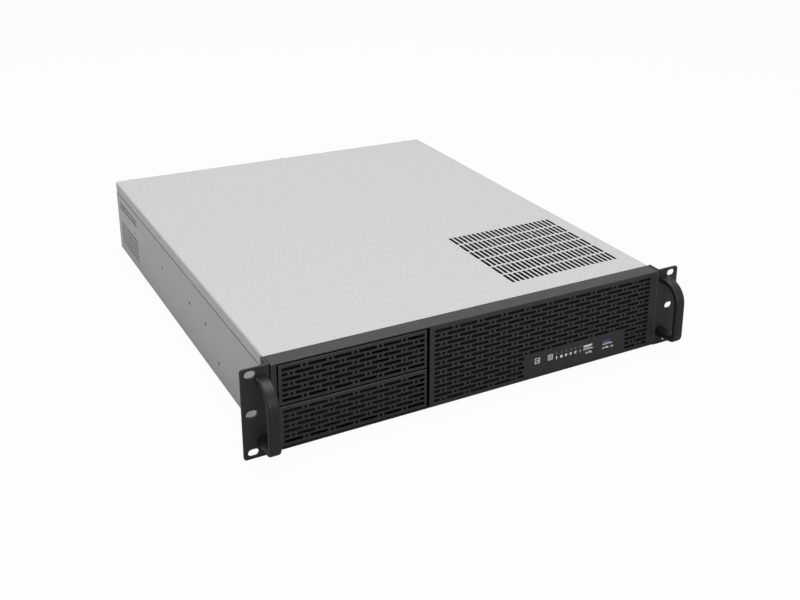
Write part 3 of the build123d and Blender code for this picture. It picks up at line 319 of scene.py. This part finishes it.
def paint_shade_inside(made, share, **bright_beyond):
    """Paints shade into all of a part, scaling its colour down to `share`, but what lies beyond
    one of the given places, in metres.
    `side` is a distance from the middle, `top` and `floor` are heights, and `rear` and
    `front` are depths."""
    tree = made.node_tree
    base = tree.nodes["Principled BSDF"].inputs["Base Color"]
    plain = base.links[0].from_socket
    place = node(tree, "ShaderNodeTexCoord")
    parts = node(tree, "ShaderNodeSeparateXYZ")
    aside = node(tree, "ShaderNodeMath", operation="ABSOLUTE")
    tree.links.new(place.outputs["Object"], parts.inputs[0])
    tree.links.new(parts.outputs["X"], aside.inputs[0])
    measured = {"side": aside.outputs[0], "top": parts.outputs["Z"], "floor": parts.outputs["Z"],
                "rear": parts.outputs["Y"], "front": parts.outputs["Y"]}
    bright = None
    for where, limit in bright_beyond.items():
        beyond = "LESS_THAN" if where in ("floor", "front") else "GREATER_THAN"
        test = node(tree, "ShaderNodeMath", operation=beyond)
        test.inputs[1].default_value = limit
        tree.links.new(measured[where], test.inputs[0])
        if bright:
            either = node(tree, "ShaderNodeMath", operation="MAXIMUM")
            tree.links.new(bright, either.inputs[0])
            tree.links.new(test.outputs[0], either.inputs[1])
            bright = either.outputs[0]
        else:
            bright = test.outputs[0]
    level = node(tree, "ShaderNodeMapRange")
    level.inputs["To Min"].default_value = share
    dimmed = node(tree, "ShaderNodeVectorMath", operation="SCALE")
    tree.links.new(bright, level.inputs["Value"])
    tree.links.new(plain, dimmed.inputs[0])
    tree.links.new(level.outputs["Result"], dimmed.inputs["Scale"])
    tree.links.new(dimmed.outputs[0], base)
    return made


# Painted shade: the tray's colour is a little darker than the cover's, and its inside and the
# groove under the flange are scaled down to a fifth.
TRAY_STEEL = finish("galvanised steel of the tray, painted shade inside", (0.5, 0.5, 0.5), **ZINC)
paint_shade_inside(TRAY_STEEL, share=0.2, side=TRAY_SIDE * MM, floor=TRAY_FLOOR * MM)
# The cages, the bracket and the fan wall are the same steel as the tray; their dark grey colour
# is painted shade.
SHADED_INNER_STEEL = finish("inner steel in painted shade", (0.1, 0.1, 0.1),
                     gloss=0.6, grain=0.8, tone=0.1, cloud=3.0, bump=0.1)
# The shells' colour is raised for a painted highlight along their lower edge and scaled down
# above it as painted shade.
SHELL = finish("nickel plate of the sockets, painted highlight and shade", (0.8, 0.8, 0.81), gloss=0.45, grain=0.4, tone=0.03)
paint_shade_inside(SHELL, share=0.08, floor=SOCKET_HIGHLIGHT_TOP * MM)
OWN_FINISH = {"chassis_tray": TRAY_STEEL, "drive_cage_5in": SHADED_INNER_STEEL,
              "drive_cage_3in": SHADED_INNER_STEEL, "psu_bracket": SHADED_INNER_STEEL, "fan_wall": SHADED_INNER_STEEL,
              "usb2_port": SHELL, "usb3_port": SHELL}
print(len(OWN_FINISH), "parts have a finish of their own")

# %% [markdown]
# A light line runs along every fold, and it is a painted highlight: the coat of the front, of
# the bay covers and of the ears is painted lighter where the surface turns. The bay covers' coat
# has painted shade behind the cover's face, where the slots' walls and the spring tongues are.

# %% Black coat with painted highlights on the folds
MIX_A, MIX_B, MIX_RESULT = 6, 7, 2  # a mix node tells its colour sockets apart by number alone
# the painted highlight on the folds sets in at the low slant and is full at the high one
SLANT_LOW, SLANT_HIGH = 0.05, 0.4  # the light sets in at the one and is full at the other
# the bay covers' coat gets painted shade this far behind the ears' face
COVER_SHADE_DEPTH = 0.1  # how far behind the ears' face the bay covers' coat gets dark


def paint_fold_highlight(made, bright, strength):
    """Paints a highlight into the coat where the surface turns: where |normal y| is neither 0
    nor 1.
    """
    tree = made.node_tree
    base = tree.nodes["Principled BSDF"].inputs["Base Color"]
    plain = base.links[0].from_socket
    place = node(tree, "ShaderNodeTexCoord")
    parts = node(tree, "ShaderNodeSeparateXYZ")
    ahead = node(tree, "ShaderNodeMath", operation="ABSOLUTE")
    aslant = node(tree, "ShaderNodeMath", operation="PINGPONG")
    aslant.inputs[1].default_value = 0.5  # folds 0 to 1 over, so that 1 counts as 0
    reach = node(tree, "ShaderNodeMapRange")
    reach.inputs["From Min"].default_value = SLANT_LOW
    reach.inputs["From Max"].default_value = SLANT_HIGH
    reach.inputs["To Max"].default_value = strength
    lit = node(tree, "ShaderNodeMix", data_type="RGBA")
    lit.inputs[MIX_B].default_value = bright + (1,)
    tree.links.new(place.outputs["Normal"], parts.inputs[0])
    tree.links.new(parts.outputs["Y"], ahead.inputs[0])
    tree.links.new(ahead.outputs[0], aslant.inputs[0])
    tree.links.new(aslant.outputs[0], reach.inputs["Value"])
    tree.links.new(reach.outputs["Result"], lit.inputs[0])
    tree.links.new(plain, lit.inputs[MIX_A])
    tree.links.new(lit.outputs[MIX_RESULT], base)
    return made


FRONT_COAT = finish("black coat of the front", (0.026, 0.026, 0.027), **COAT)
COVER_COAT = finish("black coat of the bay covers", (0.025, 0.025, 0.026), **COAT)
EAR_COAT = finish("black coat of the ears", (0.022, 0.022, 0.023), **COAT)
# Painted highlights on the folds of the front, the bay covers and the ears.
paint_fold_highlight(FRONT_COAT, bright=(0.07, 0.07, 0.072), strength=0.8)
paint_fold_highlight(COVER_COAT, bright=(0.1, 0.1, 0.102), strength=0.9)
paint_fold_highlight(EAR_COAT, bright=(0.11, 0.11, 0.112), strength=1.0)
# Painted shade on the bay covers' coat behind their face: the colour is scaled down there.
paint_shade_inside(COVER_COAT, share=0.08, front=at(0, COVER_SHADE_DEPTH, 0).y)
OWN_FINISH |= {"ear_left": EAR_COAT, "ear_right": EAR_COAT}
print("coats with painted fold highlights: front, bay covers, ears")

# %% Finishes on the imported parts
slot_of = {part["node"]: part["material_slot"] for part in frame["record"]["subparts"]}
for name, part in frame["nodes"].items():
    if not part.material_slots:
        part.data.materials.append(None)
    for slot in part.material_slots:
        slot.link = "OBJECT"
        slot.material = OWN_FINISH.get(name, FINISHES[slot_of[name]])
print("finished", len(slot_of), "packed parts")

# %% [markdown]
# ## Making a piece from a drawing
#
# A new piece starts as a bmesh. `make_piece` turns it into an object, smooths what is meant to
# be round, and ties it to the body it moves with. Only edges sharper than the given angle stay
# crisp, which keeps the folds of the sheet soft and its cut edges sharp. `rectangle` draws what
# the filter, the signs and the handles' section start from.

# %% From a bmesh to a piece
def make_piece(name, shape, finish_of_piece, body, stands_for=(), crisp=40):
    """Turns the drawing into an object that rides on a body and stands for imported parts."""
    mesh = bpy.data.meshes.new(name)
    shape.to_mesh(mesh)
    shape.free()
    mesh.materials.append(finish_of_piece)
    mesh.shade_smooth()
    mesh.set_sharp_from_angle(angle=radians(crisp))
    piece = bpy.data.objects.new(name, mesh)
    bpy.context.scene.collection.objects.link(piece)
    flat = piece.modifiers.new("flat faces stay flat", "WEIGHTED_NORMAL")
    flat.keep_sharp = True
    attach(piece, body)
    if stands_for:
        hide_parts(*stands_for)
    print(name, "has", len(mesh.polygons), "faces")
    return piece


def rectangle(shape, width, height, place=Matrix()):
    """Adds a filled rectangle, drawn round the middle and then put in its place."""
    corners = bmesh.ops.create_circle(shape, cap_ends=True, segments=4, radius=sqrt(0.5),
                                      matrix=Matrix.Rotation(pi / 4, 4, "Z"))["verts"]
    size = Matrix.Diagonal((width * MM, height * MM, 1, 1))
    bmesh.ops.transform(shape, matrix=place @ size, verts=corners)
    return corners


# %% [markdown]
# ## Perforated sheet
#
# On the real case a punch takes hundreds of slots and small holes out of a flat blank, which
# is then folded. The script works in the same order. Each opening is a ring of a few edges,
# drawn apart into a slot. One fill closes the blank round all rings at once, which is lighter
# and cleaner than cutting hundreds of holes out of a plate with booleans. Every fold starts
# from open edges: they are grown a little at a time round the bend and then straight on.

# %% Punching and filling a blank
def punch(blank, x, y, width, height, corners=12):
    """Adds the outline of one opening: a ring whose halves are drawn apart along its length."""
    across = min(width, height)
    # a ring of four corners is a square, and its radius is half of the diagonal
    radius = across / 2 / cos(pi / corners) if corners == 4 else across / 2
    ring = bmesh.ops.create_circle(blank, cap_ends=False, segments=corners, radius=radius * MM,
                                   matrix=Matrix.Rotation(pi / corners, 4, "Z"))["verts"]
    for corner in ring:
        corner.co.x += (width - across) / 2 * MM * copysign(1, corner.co.x)
        corner.co.y += (height - across) / 2 * MM * copysign(1, corner.co.y)
    bmesh.ops.translate(blank, verts=ring, vec=(x * MM, y * MM, 0))


def outline(blank, left, right, low, high):
    """Adds the outline of a rectangle."""
    punch(blank, (left + right) / 2, (low + high) / 2, right - left, high - low, corners=4)


def fill(blank):
    """Closes the sheet between its outer outline and its openings."""
    bmesh.ops.triangle_fill(blank, use_beauty=True, use_dissolve=False, edges=blank.edges[:],
                            normal=(0, 0, 1))
    down = [face for face in blank.faces if face.normal.z < 0]
    bmesh.ops.reverse_faces(blank, faces=down)


def thicken(blank, thickness):
    """Gives the folded sheet its thickness, inwards."""
    bmesh.ops.solidify(blank, geom=blank.faces[:], thickness=thickness * MM)


# %% Folding a sheet
def edges_on(sheet, *lines):
    """The open edges of the flat sheet on the given lines, each an axis and a place on it."""
    def on_line(edge, axis, place):
        return all(abs(corner.co[axis] / MM - place) < NEAR and corner.co.z > -NEAR * MM
                   for corner in edge.verts)
    return [edge for edge in sheet.edges
            if edge.is_boundary and any(on_line(edge, *line) for line in lines)]


def grow(sheet, rim):
    """Extrudes open edges in place and returns the new open edges and their corners."""
    grown = bmesh.ops.extrude_edge_only(sheet, edges=rim)["geom"]
    corners = [part for part in grown if isinstance(part, bmesh.types.BMVert)]
    edges = [part for part in grown if isinstance(part, bmesh.types.BMEdge)]
    return [edge for edge in edges if all(corner in corners for corner in edge.verts)], corners


def bend(radius, steps=4):
    """The steps outwards and down that lead round a bend of a quarter turn."""
    turns = [radians(90 * step / steps) for step in range(steps + 1)]
    return [(radius * (sin(b) - sin(a)), radius * (cos(a) - cos(b)))
            for a, b in zip(turns, turns[1:])]


def fold_all_round(blank, flat, radius, depth):
    """Folds all four edges of a flat face down, round a small bend and then straight."""
    left, right, low, high = flat
    rim = edges_on(blank, (0, left), (0, right), (1, low), (1, high))
    middle = Vector(((left + right) / 2, (low + high) / 2, 0)) * MM
    for out, down in bend(radius) + [(0, depth - radius)]:
        rim, corners = grow(blank, rim)
        for corner in corners:
            corner.co.x += copysign(out * MM, corner.co.x - middle.x)
            corner.co.y += copysign(out * MM, corner.co.y - middle.y)
            corner.co.z -= down * MM


# %% [markdown]
# ## The front
#
# The front is one black sheet, folded back on four sides like a shallow tray. On the right it
# has sixteen rows of slots with a small round hole between every two slots, and a plain area
# for the controls. On the left it is open for the two bay covers. The small holes are too fine
# for the solids, and they are most of what the eye sees at the front, so the sheet is made anew.

# %% Sizes of the front
SHEET = 1.2
FOLD = 1.2  # outer radius of the front's folds
BEZEL_FACE, BEZEL_DEPTH, BEZEL_LOW, BEZEL_TOP = -1.0, 17.5, 0.8, 87.5
BEZEL_SIDE = 214.2
BAY_WINDOW = (-209.3, -59.4, 2.8, 86.15)
ROWS, ROW_PITCH, TOP_ROW = 16, 4.9, 80.6
ROW_LEFT, ROW_RIGHT = -54.5, 204.4
FIRST_SLOT = 10.0  # from the row's left end to the middle of the first slot
PERIOD, SLOT, SLIT = 26.86, 19.5, 3.2
HOLE, HOLE_CORNERS = 3.3, 8
LAND = PERIOD - SLOT
SHORTEST = LAND / 3  # a shorter rest of a slot isn't punched
CONTROLS, CONTROL_ROWS, CONTROL_MARGIN = (48.1, 173.75), 5, 2.0
BUTTON_PLACES, BUTTON_HOLE = ((63.3, 19.7), (79.1, 19.7)), (8.0, 8.0)
SOCKET_PLACES, SOCKET_HOLE = ((126.9, 20.3), (152.0, 20.3)), (13.9, 6.5)
LAMP_PLACES, LAMP_HOLE = [(87.1 + 5.9 * k, 22.5) for k in range(6)], (1.9, 1.9)


def row_of_front(row):
    """The slots (left, right) and small holes (middle) of one row of the right panel."""
    slots, holes = [], []
    middle = ROW_LEFT + FIRST_SLOT - (row % 2) * PERIOD / 2
    while middle - SLOT / 2 < ROW_RIGHT:
        left, right = max(middle - SLOT / 2, ROW_LEFT), min(middle + SLOT / 2, ROW_RIGHT)
        if row % 2 and ROW_RIGHT < middle + PERIOD:
            # every second row closes with a shorter slot, a hole and a stub
            slots += [(left, ROW_RIGHT - 2 * LAND), (ROW_RIGHT - LAND, ROW_RIGHT)]
            holes.append(ROW_RIGHT - 1.5 * LAND)
            break
        slots.append((left, right))
        if right + LAND < ROW_RIGHT:
            holes.append(right + LAND / 2)
        middle += PERIOD
    if row >= ROWS - CONTROL_ROWS:
        a, b = CONTROLS
        slots = [(s, min(e, a)) for s, e in slots] + [(max(s, b), e) for s, e in slots]
        holes = [h for h in holes if not a - CONTROL_MARGIN < h < b + CONTROL_MARGIN]
    return [(s, e) for s, e in slots if e - s > SHORTEST], holes


print(ROWS, "rows of slots,", CONTROL_ROWS, "of them beside the controls")

# %% The perforated front sheet
front = bmesh.new()
flat = (FOLD - BEZEL_SIDE, BEZEL_SIDE - FOLD, BEZEL_LOW + FOLD, BEZEL_TOP - FOLD)
outline(front, *flat)
outline(front, *BAY_WINDOW)
openings = 0
for row in range(ROWS):
    height = TOP_ROW - row * ROW_PITCH
    slots, holes = row_of_front(row)
    for start, end in slots:
        punch(front, (start + end) / 2, height, end - start, SLIT)
    for middle in holes:
        punch(front, middle, height, HOLE, HOLE, HOLE_CORNERS)
    openings += len(slots) + len(holes)
for places, size, corners in ((BUTTON_PLACES, BUTTON_HOLE, 4), (SOCKET_PLACES, SOCKET_HOLE, 4),
                              (LAMP_PLACES, LAMP_HOLE, HOLE_CORNERS)):
    for x, z in places:
        punch(front, x, z, *size, corners)
fill(front)
fold_all_round(front, flat, FOLD, BEZEL_DEPTH)
thicken(front, SHEET)
front.transform(Matrix.Translation(at(0, BEZEL_FACE, 0)) @ UPRIGHT)
make_piece("perforated_front", front, FRONT_COAT, "case", ["front_bezel"])
print("punched", openings, "slots and holes")

# %% [markdown]
# ## Dust filter
#
# No light comes through the right panel in the photograph, although the case behind it is
# open. Such a panel has a dust filter: a thin plate of black plastic mesh right behind the
# slots. It goes round the control area, and its mesh is two sets of fine waves in the bump.

# %% Filter behind the panel
FILTER_PARTS = ((-57.5, 208.0, 25.0, 83.5), (-57.5, 46.5, 3.5, 25.0), (168.0, 208.0, 3.5, 25.0))
FILTER_FACE, FILTER_SHEET = 0.9, 0.4
WEAVE, WEAVE_STRENGTH, WEAVE_RELIEF = 320.0, 0.6, 0.0003

MESH = finish("black filter mesh", (0.006, 0.006, 0.006),
              gloss=0.8, grain=0.3, tone=0.3, bump=0.3, spec=0.15)
weave = MESH.node_tree
place = next(n for n in weave.nodes if n.type == "TEX_COORD")
over = node(weave, "ShaderNodeMath", operation="MULTIPLY")
for k, axis in enumerate(("X", "Z")):
    wave = node(weave, "ShaderNodeTexWave", bands_direction=axis, Scale=WEAVE)
    weave.links.new(place.outputs["Object"], wave.inputs["Vector"])
    weave.links.new(wave.outputs["Fac"], over.inputs[k])
raised = node(weave, "ShaderNodeBump", Strength=WEAVE_STRENGTH, Distance=WEAVE_RELIEF)
weave.links.new(over.outputs[0], raised.inputs["Height"])
weave.links.new(raised.outputs["Normal"], weave.nodes["Principled BSDF"].inputs["Normal"])

dust_filter = bmesh.new()
for start, end, low, high in FILTER_PARTS:
    middle = Matrix.Translation(((start + end) / 2 * MM, (low + high) / 2 * MM, 0))
    rectangle(dust_filter, end - start, high - low, middle)
thicken(dust_filter, FILTER_SHEET)
dust_filter.transform(Matrix.Translation(at(0, FILTER_FACE, 0)) @ UPRIGHT)
make_piece("dust_filter", dust_filter, MESH, "case")

# %% [markdown]
# ## Bay covers
#
# Each cover is a small tray of the same sheet with seven rows of slots, long and short rows
# taking turns, and the same small holes between them. It is folded on four sides, and two
# spring tongues at its ends grip the drive cage.

# %% Upper and lower bay cover
COVER_SIDES = (-207.5, -62.1)
COVER_FOLD, COVER_RETURN = 1.2, 9.0
COVER_ROWS, COVER_PITCH = 7, 5.0
COVER_MARGIN, COVER_LAND, COVER_SLOTS = 2.6, 6.4, 6
TONGUE_WIDTH, TONGUE_LENGTH, TONGUE_HEIGHT = 1.0, 29.3, 12.0
TONGUE_INSET, TONGUE_MIDDLE = 0.05, 15.0


def bay_cover(name, low, tall, body):
    """A perforated cover whose lower edge lies at `low` and that is `tall` millimetres high."""
    left, right = COVER_SIDES
    start, end = left + COVER_MARGIN, right - COVER_MARGIN
    period = (end - start + COVER_LAND) / COVER_SLOTS
    slot = period - COVER_LAND
    stub = (slot - COVER_LAND) / 2
    plate = bmesh.new()
    flat = (left + COVER_FOLD, right - COVER_FOLD, low + COVER_FOLD, low + tall - COVER_FOLD)
    outline(plate, *flat)
    for row in range(COVER_ROWS):
        height = low + tall / 2 + (COVER_ROWS // 2 - row) * COVER_PITCH
        if row % 2 == 0:
            middles = [start + slot / 2 + k * period for k in range(COVER_SLOTS)]
            holes = [middle + period / 2 for middle in middles[:-1]]
        else:
            middles = [start + slot / 2 + (k + 0.5) * period for k in range(COVER_SLOTS - 1)]
            holes = [middle - period / 2 for middle in middles] + [middles[-1] + period / 2]
            for x in (start + stub / 2, end - stub / 2):
                punch(plate, x, height, stub, SLIT)
        for x in middles:
            punch(plate, x, height, slot, SLIT)
        for x in holes:
            punch(plate, x, height, HOLE, HOLE, HOLE_CORNERS)
    fill(plate)
    fold_all_round(plate, flat, COVER_FOLD, COVER_RETURN)
    thicken(plate, SHEET)
    plate.transform(Matrix.Translation(at(0, BEZEL_FACE, 0)) @ UPRIGHT)
    tongue = Matrix.Diagonal((TONGUE_WIDTH * MM, TONGUE_LENGTH * MM, TONGUE_HEIGHT * MM, 1))
    for x in (left + TONGUE_INSET, right - TONGUE_INSET):
        middle = Matrix.Translation(at(x, TONGUE_MIDDLE, low + tall / 2))
        bmesh.ops.create_cube(plate, size=1.0, matrix=middle @ tongue)
    make_piece(f"perforated_{name}", plate, COVER_COAT, body, [name])


bay_cover("bay_cover_lower", low=3.4, tall=40.2, body="lower_bay_cover")
bay_cover("bay_cover_upper", low=45.0, tall=39.5, body="upper_bay_cover")

# %% [markdown]
# ## Top cover
#
# The lid is one galvanised sheet. A grid of long slots lets air to the cards at the front
# right, and three flanges hang down at the sides and the rear, with a line pressed along them.
# The side folds are wider than the rear one. The front edge is left flat, because it slides
# under the front's fold. Each flange is drawn from its own edge, which leaves the small open
# corners that a folded lid has. The lid's underside and the walls of its slots get painted
# shade, a near black colour.

# %% Folded cover with its vent
LID_SIDE, LID_FRONT, LID_REAR, LID_TOP = 215.0, 16.8, 550.0, 87.5
LID_FLANGE = 12.5
LID_FOLD, LID_REAR_FOLD = 2.2, 1.4  # outer radii of the side folds and of the rear fold
LID_LINE, LINE_HEIGHT, LINE_DEPTH = 6.2, 0.7, 0.2  # the pressed line in the flanges
# the lid keeps its colour this deep below its top and rear faces; deeper in it gets painted
# shade
BRIGHT_TOP, BRIGHT_REAR = 0.12, 1.1  # how deep below its faces the lid is still bright
VENT_MIDDLE = (129.3, 115.2)
VENT_GRID = (23, 6)
VENT_PITCH = (5.93, 23.1)
VENT_SLOT = (3.7, 20.9)


def fold_edge(sheet, axis, place, outwards, radius):
    """Folds one straight edge down: round the bend, down to the pressed line, and on down."""
    out, down = Vector(outwards), Vector((0, 0, -1))
    moves = [out * step_out + down * step_down for step_out, step_down in bend(radius)]
    moves += [down * (LID_LINE - radius), down * LINE_HEIGHT - out * LINE_DEPTH,
              down * (LID_FLANGE - LID_LINE - LINE_HEIGHT)]
    rim = edges_on(sheet, (axis, place))
    for move in moves:
        rim, corners = grow(sheet, rim)
        bmesh.ops.translate(sheet, verts=corners, vec=move * MM)


LID_STEEL = finish("galvanised steel of the cover", (0.54, 0.54, 0.54), **ZINC)
# Painted shade: the lid's underside and the walls of its slots are scaled down to near black.
paint_shade_inside(LID_STEEL, share=0.04, side=(LID_SIDE - LID_FOLD) * MM,
           top=(LID_TOP - BRIGHT_TOP) * MM, rear=at(0, LID_REAR - BRIGHT_REAR, 0).y)
lid = bmesh.new()
side = LID_SIDE - LID_FOLD
rear = LID_REAR - LID_REAR_FOLD
outline(lid, -side, side, LID_FRONT, rear)
for column in range(VENT_GRID[0]):
    for row in range(VENT_GRID[1]):
        x = VENT_MIDDLE[0] + (column - (VENT_GRID[0] - 1) / 2) * VENT_PITCH[0]
        y = VENT_MIDDLE[1] + (row - (VENT_GRID[1] - 1) / 2) * VENT_PITCH[1]
        punch(lid, x, y, *VENT_SLOT)
fill(lid)
fold_edge(lid, 0, -side, (-1, 0, 0), LID_FOLD)
fold_edge(lid, 0, side, (1, 0, 0), LID_FOLD)
fold_edge(lid, 1, rear, (0, 1, 0), LID_REAR_FOLD)
thicken(lid, SHEET)
lid.transform(Matrix.Translation(at(0, 0, LID_TOP)))
make_piece("folded_cover", lid, LID_STEEL, "cover", ["top_cover"])
print("vent of", VENT_GRID[0] * VENT_GRID[1], "slots")

# %% [markdown]
# ## Handles
#
# The handles are bowed bars with well-rounded edges. Highlights run along those edges, so the
# section matters more than the path. A rectangle's corners are rounded with a vertex bevel, and
# the section is then extruded along the legs and spun round the two bends. The lower leg gets
# taller and sinks a little towards its foot on the ear.

# %% Bowed handles
HANDLE_X, HANDLE_WIDTH, HANDLE_BAR, HANDLE_REACH = 222.9, 11.2, 6.4, 31.0
HANDLE_TOP, HANDLE_BOTTOM = 79.5, 13.0
TOP_BEND, BOTTOM_BEND = 22.5, 9.0
ROUNDING = 2.3
FOOT, FOOT_DROP = 10.0, 0.9  # height of the lower leg at the ear, and how far it sinks there


def draw_on(bar, face, move):
    """Extrudes the end face straight on and returns the new end face."""
    grown = bmesh.ops.extrude_face_region(bar, geom=[face])["geom"]
    corners = [part for part in grown if isinstance(part, bmesh.types.BMVert)]
    bmesh.ops.translate(bar, verts=corners, vec=Vector(move) * MM)
    return next(part for part in grown if isinstance(part, bmesh.types.BMFace))


def bend_on(bar, face, centre, steps=12):
    """Spins the end face round a bend of a quarter turn and returns the new end face."""
    swept = bmesh.ops.spin(bar, geom=[face], cent=centre, axis=(1, 0, 0), dvec=(0, 0, 0),
                           angle=radians(90), steps=steps, use_merge=False,
                           use_normal_flip=False, use_duplicate=False)["geom_last"]
    bmesh.ops.delete(bar, geom=[face], context="FACES_ONLY")
    return next(part for part in swept if isinstance(part, bmesh.types.BMFace))


def bowed_handle(name, x, body):
    """One handle: upper leg, wide bend, grip, tight bend, and lower leg with its foot."""
    bar = bmesh.new()
    section = rectangle(bar, HANDLE_WIDTH, HANDLE_BAR)
    bmesh.ops.bevel(bar, geom=section, offset=ROUNDING * MM, offset_type="OFFSET",
                    affect="VERTICES", segments=5, profile=0.5, material=-1)
    bar.transform(Matrix.Translation(at(x, 0, HANDLE_TOP - HANDLE_BAR / 2)) @ UPRIGHT)
    end = bar.faces[:][0]
    end = draw_on(bar, end, (0, TOP_BEND - HANDLE_REACH, 0))
    end = bend_on(bar, end, at(x, TOP_BEND - HANDLE_REACH, HANDLE_TOP - TOP_BEND))
    end = draw_on(bar, end, (0, 0, HANDLE_BOTTOM + BOTTOM_BEND + TOP_BEND - HANDLE_TOP))
    end = bend_on(bar, end, at(x, BOTTOM_BEND - HANDLE_REACH, HANDLE_BOTTOM + BOTTOM_BEND))
    end = draw_on(bar, end, (0, HANDLE_REACH - BOTTOM_BEND, 0))
    taller = Matrix.Diagonal((1, 1, FOOT / HANDLE_BAR, 1))
    bmesh.ops.transform(bar, matrix=Matrix.Translation((0, 0, -FOOT_DROP * MM)) @ taller,
                        space=Matrix.Translation(-end.calc_center_median()), verts=end.verts[:])
    # some stretches left their end face inside the bar, with a third face on every edge of it
    inside = [face for face in bar.faces if all(len(edge.link_faces) > 2 for edge in face.edges)]
    bmesh.ops.delete(bar, geom=inside, context="FACES_ONLY")
    bmesh.ops.recalc_face_normals(bar, faces=bar.faces[:])
    unpaired = sum(1 for edge in bar.edges if len(edge.link_faces) != 2)
    volume = bar.calc_volume(signed=True) / MM ** 3
    made = make_piece(f"bowed_{name}", bar, FINISHES["black_handle"], body, [name],
                      crisp=50)
    print(made.name, "has", unpaired, "open edges and", round(volume), "cubic millimetres")


bowed_handle("handle_left", -HANDLE_X, "case")
bowed_handle("handle_right", HANDLE_X, "case")

# %% [markdown]
# ## Print on the control area
#
# The signs beside the lamps and sockets and on the two buttons are screen-printed in white.
# They are generic signs. Each is a few flat shapes, a hair's breadth proud of the paint.

# %% Shapes of the signs
PROUD = 0.04


def disc(ink, x, z, size, corners=16, turn=0.0):
    """Prints a filled ring of corners and returns its corners."""
    made = bmesh.ops.create_circle(ink, cap_ends=True, segments=corners, radius=size / 2 * MM,
                                   matrix=Matrix.Rotation(turn, 4, "Z"))["verts"]
    bmesh.ops.translate(ink, verts=made, vec=(x * MM, z * MM, 0))
    return made


def bar_sign(ink, x, z, width, height, turn=0.0):
    """Prints a filled rectangle."""
    place = Matrix.Translation((x * MM, z * MM, 0)) @ Matrix.Rotation(turn, 4, "Z")
    rectangle(ink, width, height, place)


def ring_sign(ink, x, z, size, line, corners=24, turn=0.0):
    """Prints the outline of a disc."""
    made = disc(ink, x, z, size, corners, turn)
    face = next(f for f in made[0].link_faces if len(f.verts) == corners)
    bmesh.ops.inset_region(ink, faces=[face], thickness=line * MM, use_even_offset=True,
                           use_boundary=True)
    bmesh.ops.delete(ink, geom=[face], context="FACES_ONLY")


def print_piece(name, ink, face, body):
    """Gives the ink its thickness and sets it on the face that it is printed on."""
    bmesh.ops.recalc_face_normals(ink, faces=ink.faces[:])
    down = [f for f in ink.faces if f.normal.z < 0]
    bmesh.ops.reverse_faces(ink, faces=down)
    thicken(ink, PROUD)
    ink.transform(Matrix.Translation(at(0, face - PROUD, 0)) @ UPRIGHT)
    make_piece(name, ink, PRINT, body)


# %% Signs below the lamps and sockets
SIGN_Z, SOCKET_SIGN_Z = 17.8, 13.6
SOCKET_SIGN_X, DIGIT_X = (127.75, 149.4), (156.9, 158.9)
ink = bmesh.new()
lamp_x = [x for x, z in LAMP_PLACES]
disc(ink, lamp_x[0], SIGN_Z + 0.6, 2.9, corners=3, turn=-pi / 2)
bar_sign(ink, lamp_x[0], SIGN_Z - 1.0, 1.0, 1.8)
disc(ink, lamp_x[1], SIGN_Z, 3.1)
for x in lamp_x[2:5]:
    bar_sign(ink, x - 0.3, SIGN_Z - 0.6, 2.2, 1.2)
    bar_sign(ink, x + 0.7, SIGN_Z + 0.2, 0.8, 2.8)
    disc(ink, x - 0.6, SIGN_Z + 0.7, 1.5, corners=10)
bar_sign(ink, lamp_x[5], SIGN_Z - 0.4, 0.8, 2.0)
disc(ink, lamp_x[5], SIGN_Z + 1.2, 0.8, corners=10)
for x in SOCKET_SIGN_X:
    bar_sign(ink, x, SOCKET_SIGN_Z, 6.6, 0.8)
    disc(ink, x - 3.0, SOCKET_SIGN_Z, 2.0, corners=12)
    bar_sign(ink, x + 0.6, SOCKET_SIGN_Z + 0.8, 2.4, 0.8, turn=radians(35))
    bar_sign(ink, x + 2.9, SOCKET_SIGN_Z, 1.9, 1.9)
for x in DIGIT_X:
    bar_sign(ink, x, SOCKET_SIGN_Z, 0.9, 2.1)
print_piece("printed_signs", ink, BEZEL_FACE, "case")

# %% Signs on the buttons
BUTTON_FACE = BEZEL_FACE - 0.6
FRAME_SHIFT, FRAME_SIDE, FRAME_LINE = (-0.3, 0.7), 6.0, 0.6  # the square round each sign
KEYS = {"reset_sign": "reset_key", "power_sign": "power_key"}
for (name, body), (x, z) in zip(KEYS.items(), BUTTON_PLACES):
    ink = bmesh.new()
    x, z = x + FRAME_SHIFT[0], z + FRAME_SHIFT[1]
    ring_sign(ink, x, z, FRAME_SIDE * sqrt(2), FRAME_LINE, corners=4, turn=pi / 4)
    if name == "power_sign":
        ring_sign(ink, x, z - 0.1, 3.2, 0.65)
        bar_sign(ink, x, z + 1.4, 0.7, 1.6)
    else:
        disc(ink, x - 0.3, z, 2.1, corners=3)
        bar_sign(ink, x + 1.1, z, 0.7, 2.0)
    print_piece(name, ink, BUTTON_FACE, body)
